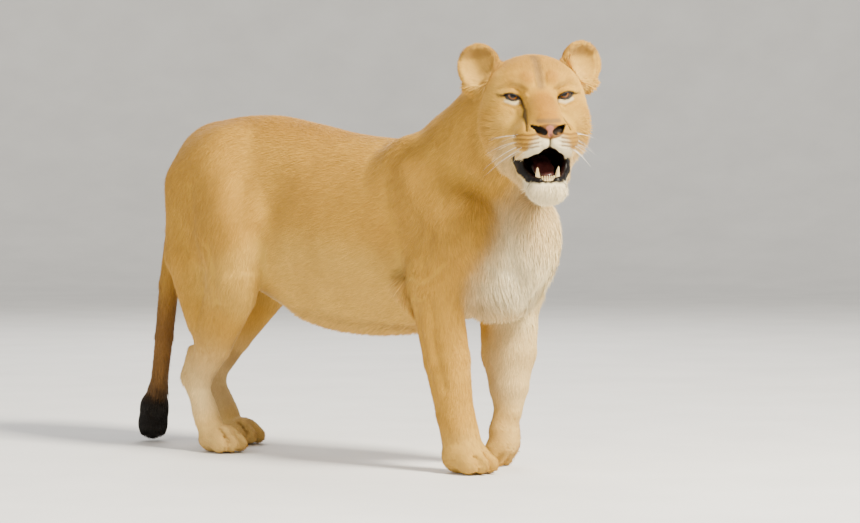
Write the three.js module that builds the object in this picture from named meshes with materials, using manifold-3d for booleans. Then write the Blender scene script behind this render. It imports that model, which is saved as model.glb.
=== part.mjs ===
// Lioness, life size, as a still museum model. Millimetres, +Z up, facing -Y, soles on Z = 0.
// The whole animal is sculpted as one smooth field, out to the tips of its coat, and each named
// part is the faceted solid of that field inside its own region, a thin cut away from the next.
import * as THREE from 'three';
import Module from 'manifold-3d';
import { mergeVertices } from 'three/addons/utils/BufferGeometryUtils.js';

const wasm = await Module();
wasm.setup();

// ---------------------------------------------------------------- driving dimensions

const CUT = 0.3; // width of the cut between neighbouring parts
const STAND = [17, -26]; // shift that brings the middle of the stance over the origin
const REACH = 3000; // size of the blocks that cut by one of their faces
const FLOOR = -CUT / 2; // level of the cut that flattens the soles to z = 0

// Trunk from rump to breast: distance back, height of back, height of belly, half-width.
const TRUNK = [
  [588, 700, 610, 45],
  [556, 782, 520, 95],
  [440, 816, 440, 125],
  [289, 822, 368, 138],
  [164, 802, 320, 146],
  [33, 777, 301, 154],
  [-116, 763, 304, 157],
  [-230, 762, 325, 150],
  [-340, 748, 350, 130],
  [-430, 700, 375, 106],
  [-490, 640, 420, 74],
];

// A limb station is [x, y, z, half-width, half-depth].
const NECK = [
  [0, -205, 612, 120, 146], [-2, -320, 698, 108, 132], [-8, -420, 778, 98, 122], [-14, -480, 818, 94, 108],
];
const BREAST = { at: [0, -384, 487], radii: [101, 78, 116] };
const BRISKET = { at: [8, -442, 424], radii: [74, 60, 50] };

const RIGHT_FORE = {
  shoulder: [[-78, -175, 690, 40, 74], [-116, -375, 560, 52, 88]],
  upperArm: [[-120, -380, 545, 52, 84], [-128, -305, 440, 50, 76]],
  forearm: [
    [-126, -312, 420, 50, 70], [-106, -331, 257, 47, 62], [-100, -350, 135, 40, 50], [-98, -370, 62, 42, 52],
  ],
  paw: { at: [-96, -387, 0], width: 55, length: 72, turn: 0 },
};
const LEFT_FORE = {
  shoulder: [[78, -195, 690, 40, 74], [110, -366, 556, 50, 78]],
  upperArm: [[112, -370, 545, 50, 78], [110, -352, 430, 52, 84]],
  forearm: [
    [107, -342, 395, 52, 86], [92, -353, 262, 47, 77], [84, -360, 188, 39, 55], [79, -362, 132, 32, 40],
  ],
  paw: { at: [77, -352, 66], width: 46, length: 68, turn: 0 },
};
const RIGHT_HIND = {
  haunch: [[-85, 420, 690, 60, 120], [-122, 330, 540, 62, 120], [-138, 306, 430, 50, 76]],
  hamstring: [[-80, 520, 650, 52, 62], [-105, 490, 480, 50, 70], [-112, 435, 320, 38, 50]],
  web: [[-138, 346, 470, 25, 60], [-112, 405, 380, 20, 50]],
  shank: [[-132, 318, 400, 48, 80], [-115, 398, 270, 38, 58], [-104, 450, 190, 31, 38]],
  heel: [[-106, 476, 245, 15, 18], [-104, 494, 182, 22, 22]],
  shin: [[-103, 470, 168, 31, 32], [-98, 433, 75, 38, 34]],
  paw: { at: [-98, 388, 0], width: 50, length: 70, turn: 0 },
};
const LEFT_HIND = {
  haunch: [[85, 440, 690, 60, 120], [118, 416, 540, 62, 112], [124, 410, 430, 50, 80]],
  hamstring: [[80, 525, 650, 52, 60], [98, 545, 480, 48, 60], [98, 565, 320, 34, 42]],
  web: [[124, 450, 470, 25, 60], [98, 535, 380, 20, 42]],
  shank: [[120, 445, 390, 46, 70], [104, 535, 270, 36, 50], [92, 590, 185, 31, 38]],
  heel: [[92, 616, 230, 15, 18], [90, 626, 165, 22, 22]],
  shin: [[90, 602, 158, 31, 32], [88, 550, 75, 36, 34]],
  paw: { at: [88, 502, 0], width: 48, length: 68, turn: 0 },
};
const TAIL = [
  [0, 572, 712, 30, 34], [0, 610, 640, 28, 28], [0, 638, 540, 29, 29], [0, 663, 400, 29, 29],
  [0, 681, 268, 27, 27], [0, 701, 140, 25, 25],
];
const TUFT = [[0, 703, 136, 26, 26], [0, 716, 92, 41, 40], [0, 722, 47, 45, 44]];

// Head: its own frame has its origin between the eyes, faces -y, and is turned to the right.
const HEAD = { at: [-101, -590, 849], yaw: -42, roll: -2 };
const EYE = { at: [57, 9, 1], radii: [20, 20, 20], segments: [10, 7] };
const EAR = { at: [115, 96, 70], radii: [51, 26, 55], turn: 18 };
const NOSE = { at: [0, -108, -68], radii: [35, 32, 17], segments: [10, 6] };
const TONGUE = { at: [0, -56, -163], radii: [25, 44, 12], tilt: 24, segments: [10, 7] };
const CANINE = { at: [22, -88, -178], radius: 6, height: 32, sides: 8 };
const JAW_FRONT = { point: [0, -40, -125], normal: [0, -0.313, 0.95] }; // between the jaws
const NAPE = { point: [0, 137, 70], normal: [0, 0.924, -0.382] }; // between head and neck
const FACE = { point: [0, 30, 0], normal: [0, 1, 0] }; // between face and jaw and the skull behind them
const EAR_ROOT = { point: [87, 96, 50], normal: [-0.88, 0, -0.47], floor: 12 };
const EAR_SPAN = 76; // half the side of the box that holds an ear

// Cuts across the body and limbs.
const WITHERS = { point: [0, -235, 790], normal: [0, -0.583, 0.813] }; // between trunk and neck
const CHEST_BACK = -60; // between chest and belly
const BELLY_BACK = 250; // between belly and rump
const TAIL_ROOT = { point: [0, 577, 730], normal: [0, -0.986, -0.164], halfWidth: 44 };
const TAIL_CUTS = [420, 150]; // heights between root, middle and tuft
const SHOULDER = {
  inner: 68, middle: [-310, 575], radii: [135, 150], waist: [-236, -418, 425], free: [-236, -500], fork: 322,
};
const HIP = {
  inner: 50, middle: [415, 590], radii: [205, 190], waist: [620, 210, 420], free: [720, 260], fork: 340,
};
const RIGHT_FORE_CUTS = [425, 112]; // elbow and wrist
const LEFT_FORE_CUTS = [415, 122];
const RIGHT_HIND_CUTS = [420, 205]; // stifle and hock
const LEFT_HIND_CUTS = [420, 205];

// Cell sizes of the facets, finest where the form is.
const CELL = {
  trunk: [60, 84, 62], neck: [54, 54, 54], limbRoot: [48, 62, 62], tail: [19, 20, 70],
  foreleg: [31, 33, 66], hindLeg: [31, 36, 52], paw: [22, 24, 21], hangingPaw: [22, 20, 24],
  hindFoot: [26, 28, 30], skull: [36, 36, 36], face: [21, 21, 21], jaw: [23, 23, 23],
  ear: [18, 18, 18], nose: [15, 15, 13],
};

// ---------------------------------------------------------------- fields

/** Smooth union of fields, each joined to what came before over a given reach. */
function blend(reach, ...fields) {
  return (x, y, z) => {
    let sum = fields[0](x, y, z);
    for (let i = 1; i < fields.length; i++) sum = join(sum, fields[i](x, y, z), reach);
    return sum;
  };
}

/** Smooth minimum of two distances. */
function join(a, b, reach) {
  const near = Math.max(reach - Math.abs(a - b), 0);
  return Math.min(a, b) - near * near / (4 * reach);
}

/** The first field with the second taken out of it, with a rounded edge. */
function carve(reach, body, hollow) {
  return (x, y, z) => -join(-body(x, y, z), hollow(x, y, z), reach);
}

/** Distance along the ray to an ellipse or ellipsoid whose scaled radius is k. */
const shell = (r, k, inner) => (k < 1e-6 ? -inner : r * (1 - 1 / k));

/** Ellipsoid. */
function ball([cx, cy, cz], [rx, ry, rz]) {
  return (x, y, z) => {
    const u = x - cx, v = y - cy, w = z - cz;
    const k = Math.sqrt((u / rx) ** 2 + (v / ry) ** 2 + (w / rz) ** 2);
    return shell(Math.sqrt(u * u + v * v + w * w), k, Math.min(rx, ry, rz));
  };
}

/** Tapered elliptical capsule between two stations. */
function link([ax, ay, az, aw, ad], [bx, by, bz, bw, bd]) {
  const axis = new THREE.Vector3(bx - ax, by - ay, bz - az);
  const length = axis.length();
  axis.normalize();
  const side = new THREE.Vector3(1, 0, 0).addScaledVector(axis, -axis.x).normalize();
  const front = new THREE.Vector3().crossVectors(axis, side);
  return (x, y, z) => {
    const px = x - ax, py = y - ay, pz = z - az;
    const along = px * axis.x + py * axis.y + pz * axis.z;
    const t = Math.min(Math.max(along / length, 0), 1);
    const w = aw + (bw - aw) * t, d = ad + (bd - ad) * t;
    const u = px * side.x + py * side.y + pz * side.z;
    const v = px * front.x + py * front.y + pz * front.z;
    const e = along - t * length;
    const k = Math.sqrt((u / w) ** 2 + (v / d) ** 2 + (e / ((w + d) / 2)) ** 2);
    return shell(Math.sqrt(u * u + v * v + e * e), k, Math.min(w, d));
  };
}

/** Chain of capsules through a list of stations. */
function limb(reach, stations) {
  const links = [];
  for (let i = 1; i < stations.length; i++) links.push(link(stations[i - 1], stations[i]));
  return blend(reach, ...links);
}

/** Smooth curve through one column of a table of stations that run from back to front. */
function profile(rows, column) {
  const slope = rows.map((row, i) => {
    const a = rows[Math.max(i - 1, 0)], b = rows[Math.min(i + 1, rows.length - 1)];
    return (b[column] - a[column]) / (b[0] - a[0]);
  });
  return (y) => {
    let i = 1;
    while (i < rows.length - 1 && y < rows[i][0]) i++;
    const a = rows[i - 1], b = rows[i], span = b[0] - a[0];
    const t = Math.min(Math.max((y - a[0]) / span, 0), 1), s = 1 - t;
    return a[column] * (1 + 2 * t) * s * s + b[column] * (3 - 2 * t) * t * t
      + span * (slope[i - 1] * t * s * s - slope[i] * s * t * t);
  };
}

/** Barrel with an egg-shaped section that follows the lines of back, belly and flank. */
function barrel(rows) {
  const back = profile(rows, 1), belly = profile(rows, 2), flank = profile(rows, 3);
  const last = rows[rows.length - 1][0], first = rows[0][0];
  return (x, y, z) => {
    const at = Math.min(Math.max(y, last), first);
    const top = back(at), low = belly(at), w = flank(at);
    const h = (top - low) / 2, v = z - (top + low) / 2, e = y - at;
    const k = Math.sqrt((x / w) ** 2 + (v / h) ** 2 + (e / w) ** 2);
    return shell(Math.sqrt(x * x + v * v + e * e), k, Math.min(w, h));
  };
}

/** A field moved into its own frame: turned about Z by yaw and about Y by roll, in degrees. */
function placed([ax, ay, az], yaw, roll, field) {
  const turn = new THREE.Matrix4().makeRotationFromEuler(
    new THREE.Euler(0, THREE.MathUtils.degToRad(roll), THREE.MathUtils.degToRad(yaw), 'ZYX'));
  const m = turn.elements;
  return (x, y, z) => {
    const u = x - ax, v = y - ay, w = z - az;
    return field(m[0] * u + m[1] * v + m[2] * w, m[4] * u + m[5] * v + m[6] * w,
      m[8] * u + m[9] * v + m[10] * w);
  };
}

/** The same field on both sides of the middle plane. */
const mirrored = (field) => (x, y, z) => field(Math.abs(x), y, z);

// ---------------------------------------------------------------- the animal

/** Paw with four toes and a palm, its sole at z = 0, its toes towards -y. */
function pawField(width, length) {
  const w = width / 55, l = length / 72;
  const palm = ball([0, 14 * l, 32], [50 * w, 52 * l, 36]);
  const knuckles = ball([0, -18 * l, 36], [48 * w, 34 * l, 30]);
  const inner = ball([16 * w, -46 * l, 24], [17 * w, 27 * l, 23]);
  const outer = ball([40 * w, -28 * l, 21], [16 * w, 27 * l, 21]);
  return blend(10, blend(16, palm, knuckles), mirrored(inner), mirrored(outer));
}

/** Foreleg down to the wrist. */
function forelegField(leg) {
  return blend(40, limb(8, leg.shoulder), limb(8, leg.upperArm), limb(8, leg.forearm));
}

/** Hind leg down to the root of the paw. */
function hindLegField(leg) {
  const thigh = blend(40, limb(12, leg.haunch), limb(12, leg.hamstring));
  return blend(26, thigh, limb(8, leg.shank), limb(8, leg.heel), limb(8, leg.shin), limb(8, leg.web));
}

/** Cup of an ear, open towards the front. */
function earField() {
  const [rx, ry, rz] = EAR.radii;
  const cup = ball([0, 0, 0], [rx, ry, rz]);
  const bowl = ball([0, -ry, 2], [rx * 0.7, ry * 0.95, rz * 0.75]);
  return carve(6, cup, bowl);
}

/** Upper and lower head in the head's own frame. */
function headField() {
  const cranium = ball([0, 84, 14], [106, 108, 84]);
  const brow = mirrored(ball([38, 26, 22], [48, 44, 34]));
  const cheek = mirrored(ball([65, 58, -56], [58, 70, 86]));
  const bridge = limb(8, [[0, 10, -20, 46, 52], [0, -60, -48, 40, 44], [0, -94, -64, 34, 32]]);
  const muzzle = limb(8, [[0, 20, -76, 80, 58], [0, -50, -88, 68, 50], [0, -78, -92, 60, 42]]);
  const pad = mirrored(ball([34, -84, -98], [36, 38, 32]));
  const upper = blend(24, blend(40, cranium, brow, cheek), blend(20, bridge, muzzle), pad);
  const jaw = mirrored(limb(8, [[60, 60, -118, 30, 56], [34, -26, -168, 30, 38], [9, -72, -198, 32, 30]]));
  const chin = ball([0, -71, -203], [42, 41, 30]);
  const mouth = limb(8, [[0, -140, -150, 44, 36], [0, -60, -148, 38, 26], [0, 0, -132, 34, 14]]);
  const socket = mirrored(ball([63, -20, 2], [28, 23, 18]));
  const gullet = ball([0, 62, -140], [56, 48, 52]);
  const head = carve(8, blend(20, upper, jaw, chin, gullet), mouth);
  const hollowed = carve(9, head, socket);
  const [ex, ey, ez] = EAR.at;
  const ear = mirrored(placed([ex, ey, ez], EAR.turn, 0, earField()));
  return blend(12, hollowed, ear);
}

/** One leg's paw in the animal's frame. */
function plantedPaw({ at, width, length, turn }) {
  return placed(at, turn, 0, pawField(width, length));
}

/** Paw that hangs from a bent wrist, toes down, pads to the rear. */
function hangingPaw({ at: [ax, ay, az], width, length }) {
  const paw = pawField(width, length);
  const thickness = 32;
  return (x, y, z) => paw(x - ax, z - az, thickness - (y - ay));
}

const tailField = blend(16, limb(6, TAIL), limb(10, TUFT));
const trunkField = blend(50, barrel(TRUNK), ball(BREAST.at, BREAST.radii), limb(60, NECK),
  ball(BRISKET.at, BRISKET.radii));
const foreField = (leg, paw) => blend(18, forelegField(leg), paw);
const hindField = (leg) => blend(18, hindLegField(leg), plantedPaw(leg.paw));
const headInPlace = placed(HEAD.at, HEAD.yaw, HEAD.roll, headField());

const torso = blend(50, trunkField,
  foreField(RIGHT_FORE, plantedPaw(RIGHT_FORE.paw)), foreField(LEFT_FORE, hangingPaw(LEFT_FORE.paw)),
  hindField(RIGHT_HIND), hindField(LEFT_HIND));
const animal = blend(30, blend(20, torso, tailField), headInPlace);

// ---------------------------------------------------------------- facets

/** Number of a cell's edge that runs along an axis from a corner, whose bits are x, y and z. */
const edgeAt = (corner, axis) => {
  const bit = (n) => (corner >> (n % 3)) & 1;
  return axis * 4 + bit(axis + 1) * 2 + bit(axis + 2);
};

/** Each whole-number place in a block of the given size. */
function* places(nx, ny, nz) {
  for (let k = 0; k < nz; k++) {
    for (let j = 0; j < ny; j++) {
      for (let i = 0; i < nx; i++) yield [i, j, k];
    }
  }
}

/** The two corners that each of a cell's twelve edges joins. */
const EDGES = [...places(2, 2, 3)].map(([v, u, axis]) => {
  const from = (u << ((axis + 1) % 3)) | (v << ((axis + 2) % 3));
  return [from, from | (1 << axis)];
});

/** Groups a cell's crossed edges into sheets, given which corners are inside. */
function sheetsOf(inside) {
  const sheet = EDGES.map(([a, b], n) => (inside[a] === inside[b] ? -1 : n));
  const unite = (p, q) => {
    const from = sheet[p], to = sheet[q];
    sheet.forEach((label, n) => {
      if (label === from) sheet[n] = to;
    });
  };
  for (const [axis, level] of places(3, 2, 1)) {
    const u = (axis + 1) % 3, v = (axis + 2) % 3;
    const face = [0, 1, 2, 3].map((n) => (level << axis) | ((n & 1) << u) | ((n >> 1) << v));
    const rim = new Set(face.flatMap((c) => [edgeAt(c, u), edgeAt(c, v)]).filter((n) => sheet[n] >= 0));
    if (rim.size === 2) unite(...rim);
    if (rim.size === 4) face.filter((c) => inside[c]).forEach((c) => unite(edgeAt(c, u), edgeAt(c, v)));
  }
  return sheet;
}

/**
 * Closed faceted surface of a field inside a box: one vertex for each sheet of it in each cell,
 * moved onto the surface, and one four-sided facet, split in two, for each crossed edge.
 */
function facet(field, low, high, cell) {
  const [nx, ny, nz] = low.map((a, i) => Math.ceil((high[i] - a) / cell[i]) + 1);
  const at = (i, j, k) => i + nx * (j + ny * k);
  const value = new Float64Array(nx * ny * nz);
  for (const [i, j, k] of places(nx, ny, nz)) {
    const edge = i === 0 || j === 0 || k === 0 || i === nx - 1 || j === ny - 1 || k === nz - 1;
    value[at(i, j, k)] = edge ? 1 : field(low[0] + i * cell[0], low[1] + j * cell[1], low[2] + k * cell[2]);
  }
  const points = [], vertexOf = new Map();
  for (const [i, j, k] of places(nx - 1, ny - 1, nz - 1)) {
    const corner = [...places(2, 2, 2)].map(([di, dj, dk]) => value[at(i + di, j + dj, k + dk)]);
    const inside = corner.map((d) => d < 0);
    if (inside.every((d) => d === inside[0])) continue;
    const sheet = sheetsOf(inside), origin = [i, j, k].map((o, n) => low[n] + o * cell[n]);
    for (const label of new Set(sheet.filter((n) => n >= 0))) {
      const members = [...sheet.keys()].filter((n) => sheet[n] === label);
      const sum = [0, 0, 0];
      for (const n of members) {
        const [a, b] = EDGES[n], t = corner[a] / (corner[a] - corner[b]);
        for (const axis of [0, 1, 2]) {
          const from = (a >> axis) & 1, to = (b >> axis) & 1;
          sum[axis] += from + (to - from) * t;
        }
        vertexOf.set(at(i, j, k) * EDGES.length + n, points.length);
      }
      points.push(settle(field, sum.map((s, n) => origin[n] + s / members.length * cell[n]), origin, cell));
    }
  }
  const triangles = [];
  const gap = (p, q) => Math.hypot(...points[p].map((s, n) => s - points[q][n]));
  for (const [i, j, k] of places(nx - 1, ny - 1, nz - 1)) {
    const here = value[at(i, j, k)] < 0;
    for (const axis of [0, 1, 2]) {
      const next = [i, j, k], u = (axis + 1) % 3, v = (axis + 2) % 3;
      if (!next[u] || !next[v]) continue;
      next[axis]++;
      if (here === value[at(...next)] < 0) continue;
      const ring = [[0, 0], [1, 0], [1, 1], [0, 1]].map(([du, dv]) => {
        const cellAt = [i, j, k];
        cellAt[u] -= du;
        cellAt[v] -= dv;
        return vertexOf.get(at(...cellAt) * EDGES.length + axis * 4 + du * 2 + dv);
      });
      if (!here) ring.reverse();
      const [a, b, c, d] = ring;
      if (gap(a, c) <= gap(b, d)) triangles.push(a, b, c, a, c, d);
      else triangles.push(b, c, d, b, d, a);
    }
  }
  return { points, triangles };
}

/** A point moved along the field's slope towards its surface, kept inside its cell. */
function settle(field, point, origin, cell) {
  const step = 0.5, rim = 0.08;
  let [x, y, z] = point;
  for (let round = 0; round < 3; round++) {
    const d = field(x, y, z);
    const g = [field(x + step, y, z) - d, field(x, y + step, z) - d, field(x, y, z + step) - d]
      .map((s) => s / step);
    const square = g[0] ** 2 + g[1] ** 2 + g[2] ** 2 + 1e-9;
    [x, y, z] = [x, y, z].map((s, n) => {
      const moved = s - d * g[n] / square;
      return Math.min(Math.max(moved, origin[n] + rim * cell[n]), origin[n] + (1 - rim) * cell[n]);
    });
  }
  return [x, y, z];
}

// ---------------------------------------------------------------- solids and cutters

/** Manifold solid of a list of points and triangles. */
function solidOf({ points, triangles }) {
  return new wasm.Manifold(new wasm.Mesh({
    numProp: 3, vertProperties: new Float32Array(points.flat()), triVerts: new Uint32Array(triangles),
  }));
}

/** Manifold solid of a three.js geometry, moved into place by a matrix. */
function solidFrom(geometry, matrix) {
  geometry.deleteAttribute('normal');
  geometry.deleteAttribute('uv');
  const merged = mergeVertices(geometry, 1e-4).applyMatrix4(matrix);
  const position = merged.getAttribute('position');
  const triangles = [];
  const points = [...Array(position.count).keys()]
    .map((n) => new THREE.Vector3().fromBufferAttribute(position, n).toArray());
  for (let i = 0; i < merged.index.count; i += 3) {
    const ring = [0, 1, 2].map((n) => merged.index.getX(i + n));
    if (new Set(ring).size === 3) triangles.push(...ring);
  }
  return solidOf({ points, triangles });
}

const shifted = (x, y, z) => new THREE.Matrix4().makeTranslation(x, y, z);
const scaled = (x, y, z) => new THREE.Matrix4().makeScale(x, y, z);
const inHead = new THREE.Matrix4().makeRotationFromEuler(new THREE.Euler(
  0, THREE.MathUtils.degToRad(HEAD.roll), THREE.MathUtils.degToRad(HEAD.yaw), 'ZYX')).setPosition(...HEAD.at);

/** Block on the inner side of a plane, whose normal points out of what is kept. */
function half({ point, normal }, frame = new THREE.Matrix4()) {
  const turn = new THREE.Quaternion().setFromUnitVectors(
    new THREE.Vector3(0, 0, 1), new THREE.Vector3(...normal).normalize());
  const place = frame.clone().multiply(shifted(...point))
    .multiply(new THREE.Matrix4().makeRotationFromQuaternion(turn))
    .multiply(shifted(0, 0, -REACH / 2 - CUT / 2));
  return solidFrom(new THREE.BoxGeometry(REACH, REACH, REACH), place);
}

/** The same plane facing the other way. */
const other = ({ point, normal }) => ({ point, normal: normal.map((s) => -s) });

/** Slab between two heights, or between two distances back. */
function slab(axis, low, high) {
  const size = [REACH, REACH, REACH], centre = [0, 0, 0];
  size[axis] = high - low - CUT;
  centre[axis] = (high + low) / 2;
  return solidFrom(new THREE.BoxGeometry(...size), shifted(...centre));
}

/** Region of a limb: an arch in the trunk's side, and below the fork the whole free leg. */
function limbRegion(side, region, grow) {
  const { inner, middle: [cy, cz], radii: [ry, rz], waist, free, fork } = region;
  const long = 600, sides = 28, below = 100, apart = 12;
  const block = (near, [back, front], low, top) => solidFrom(
    new THREE.BoxGeometry(long, back - front + 2 * grow, top - low),
    shifted(side * (near + long / 2 - grow), (back + front) / 2, (top + low) / 2));
  const place = shifted(side * (inner + long / 2 - grow), cy, cz)
    .multiply(scaled(long, ry + grow, rz + grow)).multiply(new THREE.Matrix4().makeRotationZ(Math.PI / 2));
  const oval = solidFrom(new THREE.CylinderGeometry(1, 1, 1, sides), place);
  return oval.add(block(inner, [cy + ry, cy - ry], waist[2] - grow, cz))
    .add(block(inner, waist, -below, cz)).add(block(apart, free, -below, fork + grow));
}

/** Facets of the whole animal inside a box, as a solid. */
const carved = (low, high, cell) => solidOf(facet(animal, low, high, cell));

/** Ellipsoid in the head's frame, tilted about x, and grown on all sides. */
function egg({ at, radii, segments, tilt = 0 }, grow) {
  const place = inHead.clone().multiply(shifted(...at))
    .multiply(new THREE.Matrix4().makeRotationX(THREE.MathUtils.degToRad(tilt)))
    .multiply(scaled(...radii.map((r) => r + grow)));
  return solidFrom(new THREE.SphereGeometry(1, ...segments), place);
}

/** Lower canine tooth on one side. */
function tooth(side) {
  const { at: [x, y, z], radius, height, sides } = CANINE;
  const place = inHead.clone().multiply(shifted(side * x, y, z + height / 2))
    .multiply(new THREE.Matrix4().makeRotationX(Math.PI / 2));
  return solidFrom(new THREE.ConeGeometry(radius, height, sides), place);
}

// ---------------------------------------------------------------- parts

const lioness = new THREE.Group();
lioness.position.set(STAND[0], STAND[1], 0);

const coat = { tawny: '#c39a63', pale: '#dcc29a', cream: '#e9dcc2', tuft: '#1a1611' };
const bare = { eye: '#b06f2a', nose: '#b8796a', tongue: '#8c4a4c' };

/** One part of the body as a named mesh with its own material. */
function addPart(name, solid, color, roughness = 0.9) {
  const mesh = solid.getMesh();
  const geometry = new THREE.BufferGeometry();
  geometry.setAttribute('position', new THREE.BufferAttribute(mesh.vertProperties, 3));
  geometry.setIndex(new THREE.BufferAttribute(mesh.triVerts, 1));
  geometry.computeVertexNormals();
  const part = new THREE.Mesh(geometry, new THREE.MeshStandardMaterial({ color, roughness, metalness: 0 }));
  part.name = name;
  lioness.add(part);
}

const sideName = (side) => (side < 0 ? 'right' : 'left');

/** Trunk in three lengths, without the roots of the limbs. */
function addTrunk() {
  let trunk = carved([-260, -600, 230], [260, 700, 900], CELL.trunk).intersect(half(WITHERS));
  trunk = trunk.subtract(tailBlock(CUT / 2));
  for (const side of [-1, 1]) {
    trunk = trunk.subtract(limbRegion(side, SHOULDER, CUT / 2)).subtract(limbRegion(side, HIP, CUT / 2));
  }
  addPart('chest', trunk.intersect(slab(1, -REACH / 2, CHEST_BACK)), coat.cream);
  addPart('belly', trunk.intersect(slab(1, CHEST_BACK, BELLY_BACK)), coat.pale);
  addPart('rump', trunk.intersect(slab(1, BELLY_BACK, REACH / 2)), coat.tawny);
}

/** Region behind the rump that holds the tail. */
function tailBlock(grow) {
  const { point, normal, halfWidth } = TAIL_ROOT;
  const wide = solidFrom(new THREE.BoxGeometry(2 * (halfWidth + grow), REACH, REACH), shifted(0, 0, 0));
  const back = half({ point: [point[0], point[1] - grow, point[2]], normal });
  return wide.intersect(back);
}

/** Tail in two lengths, and its tuft. */
function addTail() {
  const tail = carved([-70, 540, 0], [70, 780, 780], CELL.tail).intersect(tailBlock(-CUT / 2));
  const [upper, lower] = TAIL_CUTS;
  addPart('tail_root', tail.intersect(slab(2, upper, REACH)), coat.tawny);
  addPart('tail_middle', tail.intersect(slab(2, lower, upper)), coat.tawny);
  addPart('tail_tuft', tail.intersect(slab(2, FLOOR, lower)), coat.tuft);
}

/** Foreleg in three lengths: upper arm with shoulder, forearm, and paw. */
function addForeleg(side, [elbow, wrist]) {
  const span = side < 0 ? [-260, -40] : [40, 260];
  const root = limbRegion(side, SHOULDER, -CUT / 2).intersect(half(WITHERS));
  const arm = carved([span[0], -500, 380], [span[1], -80, 760], CELL.limbRoot);
  const fore = carved([span[0], -480, 60], [span[1], -200, 470], CELL.foreleg);
  const foot = carved([span[0], -500, -20], [span[1], -280, 160], side < 0 ? CELL.paw : CELL.hangingPaw);
  addPart(`upper_arm_${sideName(side)}`, arm.intersect(root).intersect(slab(2, elbow, REACH)), coat.tawny);
  addPart(`forearm_${sideName(side)}`, fore.intersect(root).intersect(slab(2, wrist, elbow)), coat.pale);
  addPart(`forepaw_${sideName(side)}`, foot.intersect(root).intersect(slab(2, FLOOR, wrist)), coat.cream);
}

/** Hind leg in three lengths: thigh, shank, and foot below the hock. */
function addHindLeg(side, [stifle, hock]) {
  const span = side < 0 ? [-260, -30] : [30, 260];
  const root = limbRegion(side, HIP, -CUT / 2);
  const thigh = carved([span[0], 200, 380], [span[1], 640, 820], CELL.limbRoot);
  const shank = carved([span[0], 200, 160], [span[1], 690, 460], CELL.hindLeg);
  const foot = carved([span[0], 270, -20], [span[1], 690, 250], CELL.hindFoot);
  addPart(`thigh_${sideName(side)}`, thigh.intersect(root).intersect(slab(2, stifle, REACH)), coat.tawny);
  addPart(`shank_${sideName(side)}`, shank.intersect(root).intersect(slab(2, hock, stifle)), coat.pale);
  addPart(`hind_foot_${sideName(side)}`, foot.intersect(root).intersect(slab(2, FLOOR, hock)), coat.cream);
}

/** Head with its jaw, ears, eyes, nose and tongue. */
function addHead() {
  const rear = carved([-270, -770, 560], [110, -400, 1000], CELL.skull).intersect(half(NAPE, inHead));
  const front = carved([-270, -770, 560], [110, -480, 980], CELL.face).intersect(half(FACE, inHead));
  const chin = carved([-270, -770, 560], [60, -480, 880], CELL.jaw).intersect(half(FACE, inHead));
  const bed = egg(TONGUE, CUT);
  let skull = rear.intersect(half(other(FACE), inHead));
  let face = front.intersect(half(other(JAW_FRONT), inHead)).subtract(egg(NOSE, CUT / 2)).subtract(bed);
  let jaw = chin.intersect(half(JAW_FRONT, inHead)).subtract(bed);
  for (const side of [-1, 1]) {
    const [x, y, z] = EYE.at;
    const eye = { ...EYE, at: [side * x, y, z] };
    face = face.subtract(egg(eye, CUT));
    addPart(`eye_${sideName(side)}`, egg(eye, 0), bare.eye, 0.15);
    const { point: [px, py, pz], normal: [nx, ny, nz], floor } = EAR_ROOT;
    const root = { point: [side * px, py, pz], normal: [side * nx, ny, nz] };
    const ground = { point: [0, 0, floor], normal: [0, 0, -1] };
    const wing = { point: [side * px * 0.8, 0, 0], normal: [-side, 0, 0] };
    const earBlock = half(root, inHead).intersect(half(ground, inHead)).intersect(half(wing, inHead))
      .intersect(half(NAPE, inHead)).intersect(half(other(FACE), inHead));
    const rest = half(other(root), inHead).add(half(other(ground), inHead)).add(half(other(wing), inHead));
    const middle = new THREE.Vector3(side * EAR.at[0], EAR.at[1], EAR.at[2]).applyMatrix4(inHead);
    const [low, high] = [-EAR_SPAN, EAR_SPAN].map((s) => middle.clone().addScalar(s).toArray());
    const ear = carved(low, high, CELL.ear);
    addPart(`ear_${sideName(side)}`, ear.intersect(earBlock), coat.pale);
    skull = skull.intersect(rest);
    jaw = jaw.add(tooth(side));
  }
  addPart('head', skull, coat.tawny);
  addPart('face', face, coat.tawny);
  addPart('lower_jaw', jaw, coat.cream);
  addPart('tongue', egg(TONGUE, 0), bare.tongue, 0.4);
  const nose = carved([-270, -770, 700], [-60, -600, 860], CELL.nose).intersect(egg(NOSE, -CUT / 2));
  addPart('nose', nose, bare.nose, 0.5);
}

/** Neck between head and trunk. */
function addNeck() {
  const neck = carved([-220, -700, 480], [220, -120, 1000], CELL.neck);
  addPart('neck', neck.intersect(half(other(WITHERS))).intersect(half(other(NAPE), inHead)), coat.tawny);
}

addHead();
addNeck();
addTrunk();
addForeleg(-1, RIGHT_FORE_CUTS);
addForeleg(1, LEFT_FORE_CUTS);
addHindLeg(-1, RIGHT_HIND_CUTS);
addHindLeg(1, LEFT_HIND_CUTS);
addTail();

export default lioness;
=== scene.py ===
"""Standing lioness, life size: one skin under its coat, with eyes, teeth, tongue and whiskers.

The body is sculpted as one smooth field in millimetres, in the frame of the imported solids, and becomes
metres when a mesh is made of it. Coat and skin take their colours from the same markings.
"""

import logging
import math
from collections.abc import Callable, Sequence
from dataclasses import dataclass
from enum import Enum

import bpy
import numpy as np
from mathutils import Euler, Matrix, Vector


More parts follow.
